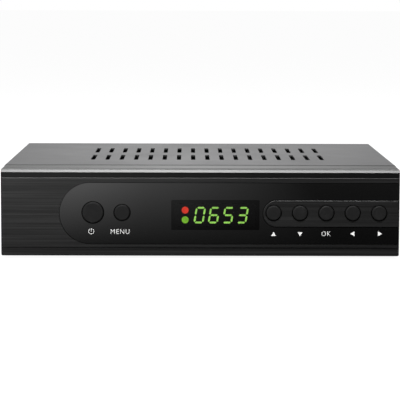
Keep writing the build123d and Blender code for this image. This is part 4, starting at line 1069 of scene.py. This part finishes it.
class RECEIVER_OT_stage(Operator):
    """Lay the floor, hang the lamps and place the camera"""

    bl_idname = "receiver.stage"
    bl_label = "Stage"

    def execute(self, context):
        stage = context.scene.receiver_stage
        self.floor()
        self.world(context.scene, stage.ambient)
        for name, (place, target, size) in LAMPS.items():
            self.lamp(f"{name}_light", place, target, size, getattr(stage, name))
        self.camera(context.scene, stage)
        return {"FINISHED"}

    def floor(self):
        """A level sheet."""
        side = np.linspace(-FLOOR_REACH, FLOOR_REACH, FLOOR_LINES)
        x, y = np.meshgrid(side, side, indexing="ij")
        points = np.stack([x, y, np.zeros_like(x)], -1).reshape(-1, 3)
        mesh = bpy.data.meshes.new("floor")
        mesh.from_pydata(points.tolist(), [], grid_faces(FLOOR_LINES, FLOOR_LINES).tolist())
        mesh.materials.append(self.sheet())
        placed("floor", mesh)

    def sheet(self):
        """The floor's material: white to the camera, and it keeps the object's shadow.

        In gloss it is bright behind the object and towards the front left, as under a card.
        """
        sheet = Finish("pale_floor", (0.12, 0.12, 0.12), 0.9, Specular_IOR_Level=0.0,
                       Emission_Color=WHITE)
        camera, gloss = sheet.rays()
        split = sheet.axes()
        behind = sheet.ranged(split["Y"], 0.0, 1.0, -0.05, 0.25)
        ahead = sheet.ranged(split["Y"], 1.2, 0.06, -0.47, -0.12)
        leftward = sheet.maths("MAXIMUM", sheet.ranged(split["X"], 1.12, 0.0, -0.09, 0.033),
                               sheet.ranged(split["X"], 0.985, 0.05, -0.11, 0.085))
        mirrored = sheet.maths("MAXIMUM", behind, sheet.maths("MULTIPLY", ahead, leftward))
        seen = sheet.maths("MAXIMUM", camera, sheet.maths("MULTIPLY", gloss, mirrored))
        sheet.drive(sheet.maths("MULTIPLY", seen, FLOOR_GLOW), "Emission Strength")
        sheet.drive(sheet.mixed(gloss, sheet.colour, BLACK), "Base Color")
        return sheet.material

    def world(self, scene, ambient):
        """White to the camera, and an even light of the ambient strength on matt surfaces.

        In gloss it is white straight behind the object, and dimmer to the sides and in front.
        """
        world = bpy.data.worlds.new("studio")
        scene.world = world
        world.use_nodes = True
        sky = Graph(world.node_tree)
        camera, gloss = sky.rays()
        split = sky.axes("Generated")
        behind = sky.ranged(split["Y"], 0.12, 1.0, -0.2, 0.6)
        straight = sky.ranged(sky.maths("ABSOLUTE", split["X"]), 1.40, 0.60, 0.0, 0.12)
        mirrored = sky.maths("MULTIPLY", behind, straight)
        strength = sky.mixed(gloss, ambient, mirrored, "FLOAT")
        background = sky.tree.nodes["Background"].inputs
        sky.feed(WHITE, background["Color"])
        sky.feed(sky.mixed(camera, strength, 1.0, "FLOAT"), background["Strength"])

    def lamp(self, name, place, target, size, power):
        """A soft rectangular lamp that faces a point."""
        light = bpy.data.lights.new(name, "AREA")
        light.shape = "RECTANGLE"
        light.size, light.size_y = size
        light.energy = power
        hung = placed(name, light)
        hung.location = place
        hung.rotation_euler = (Vector(target) - Vector(place)).to_track_quat("-Z", "Y").to_euler()

    def camera(self, scene, stage):
        """Aim from the place by pitch and yaw, then lean by the roll."""
        pitch, yaw, roll = stage.camera_pitch, stage.camera_yaw, stage.camera_roll
        forward = Vector((math.sin(yaw) * math.cos(pitch), math.cos(yaw) * math.cos(pitch),
                          -math.sin(pitch)))
        level = Vector((math.cos(yaw), -math.sin(yaw), 0.0))
        upward = level.cross(forward)
        right = level * math.cos(roll) + upward * math.sin(roll)
        up = upward * math.cos(roll) - level * math.sin(roll)
        lens = bpy.data.cameras.new("camera")
        lens.sensor_width = SENSOR_WIDTH
        lens.lens = stage.lens
        lens.shift_y = stage.shift
        lens.clip_end = SIGHT
        stand = placed("camera", lens)
        turn = Matrix((right, up, -forward)).transposed().to_4x4()
        stand.matrix_world = Matrix.Translation(Vector(stage.camera_place)) @ turn
        scene.camera = stand


# ------------------------------------------------------------ add-on
GROUPS = {
    "receiver_colours": ReceiverColours,
    "receiver_sizes": ReceiverSizes,
    "receiver_stage": ReceiverStage,
}
OPERATORS = (
    RECEIVER_OT_finishes,
    RECEIVER_OT_marks,
    RECEIVER_OT_display,
    RECEIVER_OT_satellite_sockets,
    RECEIVER_OT_aerial_sockets,
    RECEIVER_OT_phono_jacks,
    RECEIVER_OT_port_contacts,
    RECEIVER_OT_feet,
    RECEIVER_OT_rear_marks,
    RECEIVER_OT_stage,
)


class RECEIVER_PT_panel(Panel):
    """Sidebar panel of the receiver."""

    bl_label = "Receiver"
    bl_idname = "RECEIVER_PT_panel"
    bl_space_type = "VIEW_3D"
    bl_region_type = "UI"
    bl_category = "Receiver"

    def draw(self, context):
        for group_name, group in GROUPS.items():
            column = self.layout.column(align=True)
            for name in group.__annotations__:
                column.prop(getattr(context.scene, group_name), name)
        for operator in OPERATORS:
            self.layout.operator(operator.bl_idname)


CLASSES = (*GROUPS.values(), *OPERATORS, RECEIVER_PT_panel)


def register():
    """Register the classes and hang the property groups on the scene."""
    for entry in CLASSES:
        bpy.utils.register_class(entry)
    for name, group in GROUPS.items():
        setattr(bpy.types.Scene, name, PointerProperty(type=group))


def unregister():
    """Take the property groups and the classes away again."""
    for name in GROUPS:
        delattr(bpy.types.Scene, name)
    for entry in reversed(CLASSES):
        bpy.utils.unregister_class(entry)


def main():
    """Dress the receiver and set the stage."""
    register()
    bpy.context.scene.view_settings.view_transform = "Standard"
    for operator in OPERATORS:
        area, name = operator.bl_idname.split(".")
        getattr(getattr(bpy.ops, area), name)()


if __name__ == "__main__":
    main()
